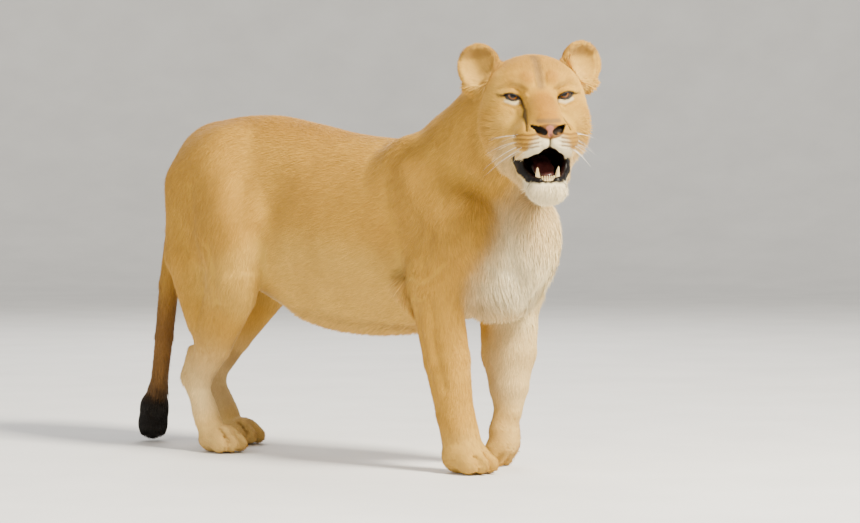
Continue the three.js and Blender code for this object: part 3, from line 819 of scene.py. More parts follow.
class Pelt:
    """Markings, growth and lie of the coat, asked for at any point of the body."""

    base = Coat(19, 1.8, 7, 6, 10.5)
    ear_root = (-38.0, 4.0, -40.0)
    nose_tip = (0.0, -118.0, -70.0)
    spread = 14.0
    head_share = 3.0

    def __init__(self, head: HeadShape, body: BodyShape) -> None:
        """Keeps the shapes that places are told by.

        Args:
            head: the head's shapes.
            body: the body's.
        """
        self.head = head
        self.body = body
        self.markings = (self.body_markings(), self.head_markings())
        self.patches = (self.body_patches(), self.head_patches())

    def body_markings(self) -> tuple[Marking, ...]:
        """Colours of trunk, legs and tail.

        Returns:
            The markings, each laid over those before it.
        """
        back = Ball((0, 180, 900), (70, 620, 130))
        flank = Ball((0, 60, 420), (230, 420, 110))
        belly = Ball((0, 90, 280), (110, 460, 60))
        inner = Ball((0, 330, 420), (62, 170, 260))
        breast = Ball((20, -450, 460), (95, 100, 150))
        throat = Ball((36, -560, 620), (60, 70, 110))
        inner_fore = Ball((-10, -380, 250), (62, 110, 260))
        left_fore = Ball((110, -420, 200), (70, 80, 260))
        paws = Blend(1, tuple(self.body.paws.values()))
        right_foot = Ball((-100, 440, 60), (70, 130, 120))
        left_foot = Ball((92, 570, 60), (70, 130, 120))
        elbow = Blend(1, (Ball((-132, -236, 416), (34, 26, 30)), Ball((120, -284, 406), (30, 24, 30))))
        lower_tail = Ball((0, 706, 170), (50, 80, 170))
        tuft = Ball((0, 722, 50), (90, 70, 56))
        hock = Mirrored(Ball((92, 520, 190), (16, 20, 50)))
        return (
            Marking(back, Tint.BACK, 0, 110, 0.8),
            Marking(flank, Tint.FLANK, -30, 90, 0.8),
            Marking(belly, Tint.STRAW, -10, 55, 0.8),
            Marking(inner, Tint.CREAM, -20, 40, 0.85),
            Marking(breast, Tint.WHITE, -20, 80, 0.95),
            Marking(throat, Tint.CREAM, -10, 80, 0.7),
            Marking(inner_fore, Tint.CREAM, -30, 40, 0.75),
            Marking(left_fore, Tint.CREAM, -10, 70, 0.7),
            Marking(right_foot, Tint.CREAM, -50, 170, 0.75),
            Marking(left_foot, Tint.CREAM, -50, 170, 0.75),
            Marking(paws, Tint.STRAW, 0, 60, 0.6),
            Marking(elbow, Tint.STRAW, -6, 26, 0.9),
            Marking(hock, Tint.UMBER, -4, 12, 0.35),
            Marking(lower_tail, Tint.UMBER, -20, 190, 0.9),
            Marking(tuft, Tint.SOOT, -10, 95, 1.0),
        )

    def head_markings(self) -> tuple[Marking, ...]:
        """Colours of the head, in the head's frame.

        Returns:
            The markings, each laid over those before it.
        """
        head = self.head
        face = View.FACE
        under_eye = Trace(face, ((44, -11), (56, -15), (74, -8)), 1.2)
        lid_corner = Trace(face, ((74, 4), (88, 3)), 1.2)
        over_eye = Mirrored(Ball((36, -8, 26), (20, 16, 10)))
        knob = Mirrored(Ball((27, -18, 40), (13, 16, 15)))
        # Painted shade: a thin umber line along the crease over each eye.
        brow = Trace(face, ((30, 14), (44, 24), (62, 28), (84, 18)), 1.0)
        side = Mirrored(Ball((64, -20, -66), (44, 52, 30)))
        temple = Mirrored(Ball((96, 40, 20), (24, 60, 40)))
        crown = Ball((0, 60, 86), (70, 90, 34))
        streak = Trace(face, ((0, 22), (0, 78), (4, 96)), 2.6)
        bridge = Trace(face, ((0, -14), (0, -60)), 16.0)
        nose_top = Trace(face, ((0, -57), (22, -56)), 2.0)
        muzzle = Mirrored(Ball((20, -104, -112), (22, 40, 24)))
        outer_lip = Mirrored(Ball((64, -62, -112), (18, 40, 24)))
        chin = Ball((0, -70, -214), (66, 60, 44))
        jowl = Mirrored(Ball((62, 0, -150), (50, 66, 46)))
        tear = Trace(face, ((40, -8), (38, -30), (42, -52), (48, -76)), 0.7)
        rows = tuple(Trace(View.MUZZLE, ((26, z), (46, z - 3), (68, z)), 0.8) for z in WHISKER_ROWS)
        septum = Blend(3, (Trace(face, ((0, -71), (4, -72)), 3.2), Trace(face, ((0, -71), (0, -86)), 3.0)))
        seam = Trace(face, ((0, -96), (0, -116)), 0.8)
        behind = Mirrored(Placed(EAR, Ball((0, 34, -4), (50, 16, 44))))
        # Painted shade: darker brown in the top of the ear's hollow, under its rim.
        ear_hollow_shade = Mirrored(Placed(EAR, Ball((2, -8, 30), (36, 20, 11))))
        return (
            Marking(bridge, Tint.GINGER, -4, 22, 0.9),
            Marking(under_eye, Tint.WHITE, 0, 5, 0.75),
            Marking(over_eye, Tint.STRAW, -2, 10, 0.3),
            Marking(knob, Tint.GINGER, -4, 9, 0.6),
            # Painted shade in the brow's crease.
            Marking(brow, Tint.UMBER, 0, 5, 0.35),
            Marking(side, Tint.FLANK, -6, 22, 0.6),
            Marking(temple, Tint.FLANK, -6, 22, 0.4),
            Marking(crown, Tint.BACK, -10, 40, 0.6),
            Marking(streak, Tint.GREY, 0, 13, 0.65),
            Marking(muzzle, Tint.WHITE, -6, 12, 0.85),
            Marking(chin, Tint.WHITE, -4, 16, 0.95),
            Marking(jowl, Tint.CREAM, -10, 26, 0.55),
            Marking(tear, Tint.LIP, 0, 3.0, 0.85),
            Marking(lid_corner, Tint.LIP, 0, 3.0, 0.85),
            Marking(nose_top, Tint.GREY, 0, 5, 0.8),
            Marking(behind, Tint.SOOT, -4, 5, 0.92),
            Marking(head.bowl, Tint.STRAW, 1, 9, 0.75),
            # Painted shade under the ear's rim.
            Marking(ear_hollow_shade, Tint.UMBER, -3, 12, 0.6),
            Marking(Mirrored(head.opening), Tint.LIP, 1.2, 3.6, 1.0),
            Marking(head.bare_nose, Tint.UMBER, 0, 2.5, 1.0),
            Marking(head.mouth, Tint.LIP, 2.5, 5, 0.95),
            Marking(head.flews, Tint.WHITE, 2.5, 4.5, 0.95),
            Marking(outer_lip, Tint.STRAW, -4, 14, 0.8),
            *(Marking(line, Tint.UMBER, 0, 3.4, 0.75) for line in rows),
            Marking(head.lip, Tint.LIP, 2.5, 5, 1.0),
            # Painted shade darkens the inside of the mouth, over its own red lining.
            Marking(head.throat, Tint.SHADED_MOUTH, 4, 9, 1.0),
            Marking(head.nostril, Tint.SOOT, 1.2, 2.8, 1.0),
            Marking(septum, Tint.PINK, 0, 3, 1.0),
            Marking(seam, Tint.LIP, 0, 2.5, 0.9),
        )

    def body_patches(self) -> tuple[CoatPatch, ...]:
        """Growth of the coat on trunk, legs and tail.

        Returns:
            The patches, each laid over those before it.
        """
        body = self.body
        legs = Blend(1, (Ball((-110, -350, 180), (120, 140, 210)), Ball((100, -350, 180), (120, 140, 210)),
                         Ball((-110, 410, 170), (120, 200, 190)), Ball((100, 540, 170), (120, 200, 190))))
        feet = Blend(1, tuple(body.paws.values()))
        belly = Ball((0, 110, 300), (90, 360, 40))
        breast = Ball((0, -450, 430), (110, 90, 110))
        elbow = Blend(1, (Ball((-134, -240, 420), (38, 30, 38)), Ball((120, -288, 408), (32, 24, 34))))
        tail = Ball((0, 660, 420), (60, 110, 300))
        tuft = Ball((0, 718, 76), (60, 50, 58))
        throat = Ball((-40, -500, 640), (120, 110, 120))
        tail_end = Ball((0, 704, 140), (40, 40, 60))
        return (
            CoatPatch(legs, Coat(13, 1.7, 9, 4.5, 11), 60),
            CoatPatch(feet, Coat(9, 1.7, 12, 2.5, 14), 20),
            CoatPatch(belly, Coat(28, 2.4, 9, 8, 9, 0.2), 50),
            CoatPatch(breast, Coat(32, 2.2, 9, 8.5, 9.5, 0.35), 60),
            CoatPatch(throat, Coat(26, 2.1, 9, 8, 10, 0.2), 60),
            CoatPatch(elbow, Coat(36, 2.3, 26, 8, 16, 0.2), 26),
            CoatPatch(tail, Coat(16, 2.0, 9, 5, 12), 20),
            CoatPatch(tail_end, Coat(32, 2.2, 7, 6, 12, 0.2), 40),
            CoatPatch(tuft, Coat(38, 2.0, 6, 7, 17, 0.6), 20),
        )

    def head_patches(self) -> tuple[CoatPatch, ...]:
        """Growth of the coat on the head, in the head's frame.

        Returns:
            The patches, each laid over those before it.
        """
        whole = Ball((0, 60, -20), (130, 150, 130))
        face = Ball((0, -50, -50), (90, 80, 90))
        muzzle = Ball((0, -92, -88), (62, 46, 44))
        ruff = Mirrored(Ball((92, 70, -96), (40, 60, 70)))
        chin = Ball((0, -66, -218), (46, 44, 24))
        eyes = Mirrored(Ball(EYE_AT, (24, 28, 20)))
        ears = Mirrored(Ball(EAR_AT, (58, 34, 62)))
        inside = Mirrored(Placed(EAR, Ball((-14, -16, -14), (34, 16, 34))))
        fringe = Mirrored(Placed(EAR, Ball((14, 2, -50), (24, 22, 12))))
        return (
            CoatPatch(whole, Coat(12, 1.6, 10, 4, 22), 40),
            CoatPatch(face, Coat(6.5, 1.1, 10, 2.0, 42), 30),
            CoatPatch(muzzle, Coat(4.5, 0.9, 10, 1.4, 55), 14),
            CoatPatch(ruff, Coat(26, 2.0, 14, 6, 16, 0.2), 30),
            CoatPatch(eyes, Coat(4, 0.9, 8, 1.0, 60), 9),
            CoatPatch(chin, Coat(15, 1.3, 12, 4, 32, 0.3), 16),
            CoatPatch(ears, Coat(8, 1.2, 12, 2.5, 30), 12),
            CoatPatch(inside, Coat(22, 1.5, 16, 2.0, 24, 0.1), 10),
            CoatPatch(fringe, Coat(25, 1.6, 12, 3.0, 24, 0.45), 9),
        )

    def tint(self, points: Array) -> Array:
        """Colour of the coat at each point.

        Args:
            points: places in millimetres.

        Returns:
            Linear red, green and blue, one row a point.
        """
        colour = np.tile(Tint.TAWNY.rgb(), (len(points), 1))
        for marks, places in zip(self.markings, (points, HEAD.inwards(points))):
            for mark in marks:
                weight = mark.strength * fade(mark.where(places), mark.inner, mark.outer)
                colour += (mark.colour.rgb() - colour) * weight[:, None]
        return colour

    def bare(self, points: Array) -> Array:
        """How bare and moist the skin is: nose, lips, mouth and lids.

        Args:
            points: places in millimetres, one a row.

        Returns:
            From none in the coat to one on wet leather.
        """
        local = HEAD.inwards(points)
        places = ((self.head.bare_nose, 2.5), (self.head.lip, 3.0), (self.head.mouth, 4.0),
                  (self.head.nostril, 4.5), (Mirrored(self.head.opening), 1.5), (self.head.throat, 9.0))
        bare = np.max([fade(where(local), reach - 1.2, reach) for where, reach in places], axis=0)
        pads = fade(self.head.flews(local), 2.5, 4.5) * fade(-self.head.throat(local), -9, -6)
        dry = 0.55 * fade(self.head.nostril(local), 2.5, 4.5)
        return bare * (1 - pads) * (1 - dry)

    def growth(self, points: Array) -> Array:
        """Length, width, rise, depth, density and droop of the coat at each point.

        Args:
            points: places in millimetres, one a row.

        Returns:
            The Coat's values, one row a point.
        """
        row = np.tile(self.base.row(), (len(points), 1))
        for patches, places in zip(self.patches, (points, HEAD.inwards(points))):
            for patch in patches:
                weight = fade(patch.where(places), 0, patch.fade)
                row += (patch.coat.row() - row) * weight[:, None]
        return row

    def lie(self, points: Array) -> Array:
        """Direction in which the coat runs, before it is laid on the skin.

        Args:
            points: places in millimetres.

        Returns:
            One direction of length one a place.
        """
        body = self.body
        down = (0, -0.1, -1.0)
        flows: list[tuple[Field, Triple]] = [
            (body.barrel, (0, 1.0, -0.35)), (body.neck, (0, 0.7, -0.75)),
            (body.breast, down), (body.brisket, down), (body.tail, (0, 0.1, -1.0)),
            (body.right_fore, (0, 0.15, -1.0)), (body.left_fore, (0, 0.15, -1.0)),
            (body.right_hind, (0, 0.35, -1.0)), (body.left_hind, (0, 0.35, -1.0)),
            *((shape, (0.0, -1.0, -0.5)) for shape in body.paws.values()),
        ]
        total = np.zeros((len(points), 3))
        for shape, flow in flows:
            total += self.nearness(shape, points) * np.array(flow)
        front = fade(points[:, 1], -430, -320) * fade(-points[:, 2], -360, -240)
        turned = np.interp(points[:, 2], (500, 680), (-0.3, 0.8))
        forward = np.stack([np.zeros(len(points)), turned, -np.ones(len(points))], axis=1)
        size = np.linalg.norm(total, axis=1) * front
        total += forward * size[:, None] - total * front[:, None]
        on_head = self.head_share * self.nearness(body.head, points)
        return unit(total + on_head * (self.head_lie(HEAD.inwards(points)) @ HEAD.turn().T))

    def nearness(self, shape: Field, points: Array) -> Array:
        """One in a column for points inside the shape, less and less outside it."""
        return np.exp(-np.maximum(shape(points), 0) / self.spread)[:, None]

    def head_lie(self, local: Array) -> Array:
        """Direction of the coat on the head: away from the nose, and on an ear away from its root.

        Args:
            local: places in the head's frame.

        Returns:
            One direction a place, in the head's frame.
        """
        away = unit(local - np.array(self.nose_tip))
        ear = fade(self.head.ear_cup(local), 2, 14)[:, None]
        side = np.where(local[:, 0] < 0, -1.0, 1.0)[:, None] * [1, 0, 0] + [0, 1, 1]
        outward = unit(EAR.inwards(local * side) - self.ear_root) @ EAR.turn().T * side
        return away * (1 - ear) + outward * ear


# ---------------- meshes
@dataclass
class Surface:
    """Triangles over points in millimetres."""

    points: Array
    triangles: Array

    def normals(self) -> Array:
        """Outward direction at each point, from the faces round it.

        Returns:
            One direction a point.
        """
        a, b, c = (self.points[self.triangles[:, n]] for n in range(3))
        face = np.cross(b - a, c - a)
        total = np.stack([
            sum(np.bincount(self.triangles[:, n], face[:, axis], len(self.points)) for n in range(3))
            for axis in range(3)], axis=1)
        return unit(total)

    def areas(self) -> Array:
        """Area of each triangle."""
        a, b, c = (self.points[self.triangles[:, n]] for n in range(3))
        return np.linalg.norm(np.cross(b - a, c - a), axis=1) / 2


class Lattice:
    """Polygonizes a field on a lattice of cubes: one point in each crossed cube."""

    coarse = 4
    near = 2.2

    def __init__(self, shape: Field, inset: Inset, low: Triple, high: Triple, cell: float) -> None:
        """Measures the field near its surface.

        Args:
            shape: the field.
            inset: how far inside the field's surface the mesh lies, at each point.
            low: lowest corner of the block that holds it.
            high: highest corner.
            cell: side of a cube.
        """
        self.low = np.array(low, float)
        self.cell = cell
        block = cell * self.coarse
        blocks = np.ceil((np.array(high) - self.low) / block).astype(int)
        self.size = blocks * self.coarse
        middle = np.stack(np.meshgrid(*(np.arange(n) + 0.5 for n in blocks), indexing="ij"), axis=-1)
        rough = shape(self.low + middle.reshape(-1, 3) * cell * self.coarse).reshape(blocks)
        self.value = self.finer(rough)
        where = np.argwhere(self.finer(np.abs(rough) < block * self.near))
        points = self.low + where * cell
        self.value[tuple(where.T)] = shape(points) + inset(points)

    def finer(self, blocks: Array) -> Array:
        """Each block's value given to all of its cubes."""
        return blocks.repeat(self.coarse, 0).repeat(self.coarse, 1).repeat(self.coarse, 2)

    def quads(self) -> tuple[Array, Array]:
        """The mesh on the lattice.

        Returns:
            Points, and faces of four points each.
        """
        cells = self.size - 1
        total = np.zeros((int(np.prod(cells)), 3))
        count = np.zeros(len(total))
        rings = [self.crossings(axis, cells, total, count) for axis in range(3)]
        used = np.flatnonzero(count)
        number = np.full(len(total), -1)
        number[used] = np.arange(len(used))
        points = self.low + total[used] / count[used, None] * self.cell
        return points, number[np.concatenate(rings)]

    def crossings(self, axis: int, cells: Array, total: Array, count: Array) -> Array:
        """Adds the crossed edges along one axis to the cubes round them.

        Args:
            axis: the edges' direction.
            cells: number of cubes each way.
            total: sum of crossing places of each cube, added to here.
            count: number of them, added to here.

        Returns:
            The four cubes round each crossed edge, in order round it.
        """
        u, v = (axis + 1) % 3, (axis + 2) % 3
        first = [slice(None)] * 3
        second = [slice(None)] * 3
        first[axis], second[axis] = slice(0, -1), slice(1, None)
        start, end = self.value[tuple(first)], self.value[tuple(second)]
        where = np.argwhere((start < 0) != (end < 0))
        where = where[(where[:, u] > 0) & (where[:, v] > 0)]
        where = where[(where[:, u] < cells[u]) & (where[:, v] < cells[v])]
        a, b = start[tuple(where.T)], end[tuple(where.T)]
        crossing = where.astype(float)
        crossing[:, axis] += a / (a - b)
        ring = []
        for du, dv in ((1, 1), (0, 1), (0, 0), (1, 0)):
            cube = where.copy()
            cube[:, u] -= du
            cube[:, v] -= dv
            ring.append(np.ravel_multi_index(tuple(cube.T), cells))
        ring = np.stack(ring, axis=1)
        for n in range(4):
            np.add.at(total, ring[:, n], crossing)
            np.add.at(count, ring[:, n], 1)
        ring[a >= 0] = ring[a >= 0][:, ::-1]
        return ring


def unmoved(points: Array) -> Array:
    """No inset at any point."""
    return np.zeros(len(points))


def settle(shape: Field, inset: Inset, points: Array, rounds: int, most: float) -> Array:
    """Moves points along the field's slope to their depth under its surface.

    Args:
        shape: the field.
        inset: how far inside the field's surface each point belongs.
        points: places near there.
        rounds: how often each is moved.
        most: furthest move in one round.

    Returns:
        The moved points.
    """
    for _ in range(rounds):
        slope = shape.slope(points)
        step = (shape(points) + inset(points)) / (np.sum(slope * slope, axis=1) + 1e-6)
        move = slope * step[:, None]
        length = np.linalg.norm(move, axis=1, keepdims=True)
        points = points - move * np.minimum(1, most / (length + TINY))
    return points


def evened(surface: Surface, share: float) -> Surface:
    """Each point moved part of the way to the middle of its neighbours.

    Args:
        surface: the triangles.
        share: part of the way.

    Returns:
        The evened surface.
    """
    count = len(surface.points)
    a = surface.triangles.ravel()
    b = np.roll(surface.triangles, -1, axis=1).ravel()
    number = np.bincount(a, minlength=count) + np.bincount(b, minlength=count)
    total = np.stack([
        np.bincount(a, surface.points[b, axis], count) + np.bincount(b, surface.points[a, axis], count)
        for axis in range(3)], axis=1)
    middle = total / np.maximum(number, 1)[:, None]
    return Surface(surface.points + (middle - surface.points) * share, surface.triangles)


def split(surface: Surface, within: Field) -> Surface:
    """Halves the edges whose middles lie in a place, and the triangles with them.

    Args:
        surface: the triangles.
        within: where to halve them.

    Returns:
        The finer surface, still closed.
    """
    ends = np.stack([surface.triangles, np.roll(surface.triangles, -1, axis=1)], axis=2).reshape(-1, 2)
    ends = np.sort(ends, axis=1)
    key, place = np.unique(ends[:, 0] * len(surface.points) + ends[:, 1], return_inverse=True)
    a, b = np.divmod(key, len(surface.points))
    middle = (surface.points[a] + surface.points[b]) / 2
    cut = within(middle) < 0
    number = np.where(cut, len(surface.points) + np.cumsum(cut) - 1, -1)
    mids = number[place].reshape(-1, 3)
    made = []
    for pattern in range(8):
        chosen = np.all((mids >= 0) == [(pattern >> n) & 1 for n in range(3)], axis=1)
        corner = [surface.triangles[chosen, n] for n in range(3)]
        half = [mids[chosen, n] for n in range(3)]
        count = bin(pattern).count("1")
        for turn in range(3):
            c, m = corner[turn:] + corner[:turn], half[turn:] + half[:turn]
            on = [(pattern >> ((n + turn) % 3)) & 1 for n in range(3)]
            if count == 0 and turn == 0:
                made += [c]
            if count == 3 and turn == 0:
                made += [[c[0], m[0], m[2]], [m[0], c[1], m[1]], [m[2], m[1], c[2]], m]
            if count == 1 and on[0]:
                made += [[c[0], m[0], c[2]], [m[0], c[1], c[2]]]
            if count == 2 and on[0] and on[1]:
                made += [[c[0], m[0], c[2]], [m[0], m[1], c[2]], [m[0], c[1], m[1]]]
    triangles = np.concatenate([np.stack(part, axis=1) for part in made])
    return Surface(np.concatenate([surface.points, middle[cut]]), triangles)


def flat_floats(values: Array) -> Array:
    """The values in one row, as a mesh takes them."""
    return np.ascontiguousarray(values, dtype=np.float32).ravel()


def new_piece(name: str, points: Array, faces: Array, smooth: bool = True) -> Piece:
    """An object with a mesh of equal-sided faces, its place in its mesh.

    Args:
        name: the piece's name.
        points: places in metres.
        faces: point numbers, one face a row.
        smooth: whether it is shaded smooth.

    Returns:
        The object, linked into the scene.
    """
    mesh = bpy.data.meshes.new(name)
    mesh.vertices.add(len(points))
    mesh.vertices.foreach_set("co", flat_floats(points))
    mesh.loops.add(faces.size)
    mesh.loops.foreach_set("vertex_index", np.ascontiguousarray(faces, dtype=np.int32).ravel())
    mesh.polygons.add(len(faces))
    mesh.polygons.foreach_set("loop_start", np.arange(0, faces.size, faces.shape[1], dtype=np.int32))
    mesh.polygons.foreach_set("use_smooth", np.full(len(faces), smooth))
    mesh.update(calc_edges=True)
    made = bpy.data.objects.new(name, mesh)
    bpy.context.scene.collection.objects.link(made)
    return made


def paint(piece: Piece, name: str, rgb: Array, alpha: Array | float = 1.0) -> None:
    """Stores a colour at each point of a piece's mesh.

    Args:
        piece: the object.
        name: the attribute's name.
        rgb: linear red, green and blue, one row a point.
        alpha: the fourth value, for all or for each point.
    """
    layer = piece.data.color_attributes.new(name, "FLOAT_COLOR", "POINT")
    rgba = np.concatenate([rgb, np.broadcast_to(np.reshape(alpha, (-1, 1)), (len(rgb), 1))], axis=1)
    layer.data.foreach_set("color", flat_floats(rgba))


def attach(piece: Piece, finish: Material, slot: str | None = None, *nodes: str) -> None:
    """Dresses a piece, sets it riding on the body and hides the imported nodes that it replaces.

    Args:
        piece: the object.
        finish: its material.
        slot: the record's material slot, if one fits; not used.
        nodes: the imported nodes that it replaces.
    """
    piece.data.materials.append(finish)
    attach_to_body(piece, "root")
    if nodes:
        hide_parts(*nodes)
    log.info("%s: %d faces", piece.name, len(piece.data.polygons))


# ---------------- finishes
class Socket:
    """A node's output on which sums can be written."""

    def __init__(self, shader: "Shader", output: bpy.types.NodeSocket) -> None:
        """Keeps the shader that the sums are added to."""
        self.shader = shader
        self.output = output

    def sum(self, operation: str, a: "Socket | float", b: "Socket | float") -> "Socket":
        """A Math node of two values."""
        return self.shader.node("ShaderNodeMath", {"operation": operation}, {0: a, 1: b})

    def __mul__(self, other: "Socket | float") -> "Socket":
        """The product."""
        return self.sum("MULTIPLY", self, other)

    def __rsub__(self, other: "Socket | float") -> "Socket":
        """The difference, taken from the other."""
        return self.sum("SUBTRACT", other, self)


class Shader:
    """A material and the nodes that make it."""

    def __init__(self, name: str) -> None:
        """Starts a material with an empty tree.

        Args:
            name: the material's name.
        """
        self.material = bpy.data.materials.new(name)
        self.material.use_nodes = True
        self.tree = self.material.node_tree
        self.tree.nodes.clear()

    def node(
            self, kind: str, settings: dict | None = None, inputs: dict | None = None, out: str | int = 0,
    ) -> Socket:
        """Adds a node.

        Args:
            kind: the node's type.
            settings: its properties, and ramp stops under "stops", set first.
            inputs: values or links of its sockets, by name or number.
            out: the output that is given back.

        Returns:
            The chosen output.
        """
        made = self.tree.nodes.new(kind)
        for key, value in (settings or {}).items():
            if key == "stops":
                self.stops(made.color_ramp, value)
            else:
                setattr(made, key, value)
        for key, value in (inputs or {}).items():
            if isinstance(value, Socket):
                self.tree.links.new(value.output, made.inputs[key])
            else:
                made.inputs[key].default_value = value
        return Socket(self, made.outputs[out])

    @staticmethod
    def stops(ramp: bpy.types.ColorRamp, stops: Sequence[tuple[float, Array]]) -> None:
        """Sets a ramp's places and colours.

        Args:
            ramp: the ramp.
            stops: place and colour of each stop.
        """
        while len(ramp.elements) < len(stops):
            ramp.elements.new(0.5)
        for element, (place, rgb) in zip(ramp.elements, stops):
            element.position = place
            element.color = (*rgb, 1.0)

    def toned(self, factor: float, colour: Socket, tone: Socket) -> Socket:
        """A colour multiplied by a tone, as far as the factor says.

        Args:
            factor: none to one.
            colour: the colour.
            tone: the tone.

        Returns:
            The toned colour.
        """
        settings = {"data_type": "RGBA", "blend_type": "MULTIPLY"}
        return self.node("ShaderNodeMix", settings, {0: factor, 6: colour, 7: tone}, 2)

    def layer(self, out: str = "Color") -> Socket:
        """Colour of the mesh's own points, or its Alpha."""
        return self.node("ShaderNodeVertexColor", {"layer_name": "tint"}, out=out)

    def noise(self, scale: float, detail: float = 3.0, roughness: float = 0.55) -> Socket:
        """Noise over the object, as a value about one half.

        Args:
            scale: how fine it is.
            detail: how many finer layers it has.
            roughness: their strength.

        Returns:
            The noise.
        """
        place = self.node("ShaderNodeTexCoord", out="Object")
        inputs = {"Vector": place, "Scale": scale, "Detail": detail, "Roughness": roughness}
        return self.node("ShaderNodeTexNoise", {}, inputs)

    def ramp(self, value: Socket, *stops: tuple[float, Array]) -> Socket:
        """Colour ramp of a value."""
        return self.node("ShaderNodeValToRGB", {"stops": stops}, {0: value})

    def finish(self, inputs: dict) -> Material:
        """Ends the tree in a Principled shader with these inputs.

        Args:
            inputs: values or links by the shader's socket names.

        Returns:
            The material.
        """
        shade = self.node("ShaderNodeBsdfPrincipled", {}, inputs)
        end = self.tree.nodes.new("ShaderNodeOutputMaterial")
        self.tree.links.new(shade.output, end.inputs["Surface"])
        return self.material


@dataclass(frozen=True)
class HideFinish:
    """Skin under the coat, with bare moist leather on nose, lips and mouth."""

    mottle_scale: float = 14.0
    grain_scale: float = 420.0
    grain_depth: float = 0.0006
    dry: float = 0.85
    moist: float = 0.42

    def build(self) -> Material:
        """Makes the finish.

        Returns:
            The material.
        """
        s = Shader("hide")
        mottle = s.ramp(s.noise(self.mottle_scale), (0.3, np.full(3, 0.55)), (0.7, np.ones(3)))
        grain = s.noise(self.grain_scale, 4.0, 0.7)
        bump = s.node("ShaderNodeBump", {}, {"Strength": 0.6, "Distance": self.grain_depth, "Height": grain})
        return s.finish({
            "Base Color": s.toned(0.35, s.layer(), mottle), "Normal": bump,
            "Roughness": self.dry - s.layer("Alpha") * self.moist, "Specular IOR Level": 0.18,
        })


@dataclass(frozen=True)
class CoatFinish:
    """Hair of the coat."""

    streak_scale: float = 26.0
    mottle_scale: float = 6.0

    def build(self) -> Material:
        """Makes the finish.

        Returns:
            The material.
        """
        s = Shader("coat_hair")
        mottle = s.ramp(s.noise(self.mottle_scale), (0.35, np.array([0.78, 0.74, 0.7])), (0.65, np.ones(3)))
        streak = s.ramp(s.noise(self.streak_scale, 4.0), (0.3, np.full(3, 0.8)), (0.7, np.ones(3)))
        shade = s.toned(0.5, s.toned(0.7, s.layer(), mottle), streak)
        return s.finish({
            "Base Color": shade, "Roughness": 0.72, "Specular IOR Level": 0.3,
            "Sheen Weight": 0.12, "Sheen Roughness": 0.45, "Sheen Tint": (1.0, 0.92, 0.8, 1.0),
        })


@dataclass(frozen=True)
class EyeFinish:
    """Wet eyeball, its iris coloured at the mesh's points and streaked."""

    streak_scale: float = 900.0

    def build(self) -> Material:
        """Makes the finish.

        Returns:
            The material.
        """
        s = Shader("wet_eye")
        streak = s.ramp(s.noise(self.streak_scale, 5.0), (0.35, np.full(3, 0.6)), (0.7, np.ones(3)))
        return s.finish({
            "Base Color": s.toned(0.6, s.layer(), streak), "Roughness": 0.4,
            "Specular IOR Level": 0.2, "Coat Weight": 0.8, "Coat Roughness": 0.02, "Coat IOR": 1.36,
        })


@dataclass(frozen=True)
class PlainFinish:
    """One-coloured moist or horny matter with a fine grain."""

    name: str
    colour: str
    shade: str
    roughness: float
    grain_scale: float
    grain_depth: float
    coat: float = 0.0

    def build(self) -> Material:
        """Makes the finish.

        Returns:
            The material.
        """
        s = Shader(self.name)
        grain = s.noise(self.grain_scale, 4.0)
        colour = s.ramp(grain, (0.3, linear(self.shade)), (0.7, linear(self.colour)))
        bump = s.node("ShaderNodeBump", {}, {"Strength": 0.5, "Distance": self.grain_depth, "Height": grain})
        return s.finish({
            "Base Color": colour, "Roughness": self.roughness, "Normal": bump, "Coat Weight": self.coat,
            "Coat Roughness": 0.08,
        })


TOOTH = PlainFinish("tooth", "e4d3a8", "c9a768", 0.3, 90.0, 0.0002, 0.4)
# The tongue's colours carry painted shade of the mouth's inside, darkened over its own pink.
SHADED_TONGUE = PlainFinish("shaded_tongue_skin", "5a2624", "341312", 0.45, 700.0, 0.0008, 0.3)
RIM = PlainFinish("eyelid_skin", "17100e", "0c0807", 0.6, 600.0, 0.0002, 0.1)
WHISKER = PlainFinish("whisker", "f2ede2", "d8d0c0", 0.4, 300.0, 0.0)


# ---------------- skin
class Stance:
    """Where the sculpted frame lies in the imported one."""

    def __init__(self) -> None:
        """Finds the shift from the two packed eyes."""
        boxes = [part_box(f"eye_{side}") for side in ("right", "left")]
        corners = np.array([[list(corner) for corner in box] for box in boxes])
        middle = HEAD.outwards(np.array([[0.0, EYE_AT[1], EYE_AT[2]]]))[0]
        self.shift = corners.mean(axis=(0, 1)) - middle * MM

    def metres(self, points: Array) -> Array:
        """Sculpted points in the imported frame, in metres."""
        return points * MM + self.shift

    def head_metres(self, points: Array) -> Array:
        """Places in the head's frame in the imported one, in metres."""
        return self.metres(HEAD.outwards(points))


@dataclass(frozen=True)
class Fold:
    """A furrow in the skin, or a ridge where its depth is negative, with soft sides."""

    where: Field
    width: float
    depth: float


def fold(view: View, width: float, depth: float, *line: Point) -> Fold:
    """A fold along a line of a flat view."""
    return Fold(Trace(view, line), width, depth)


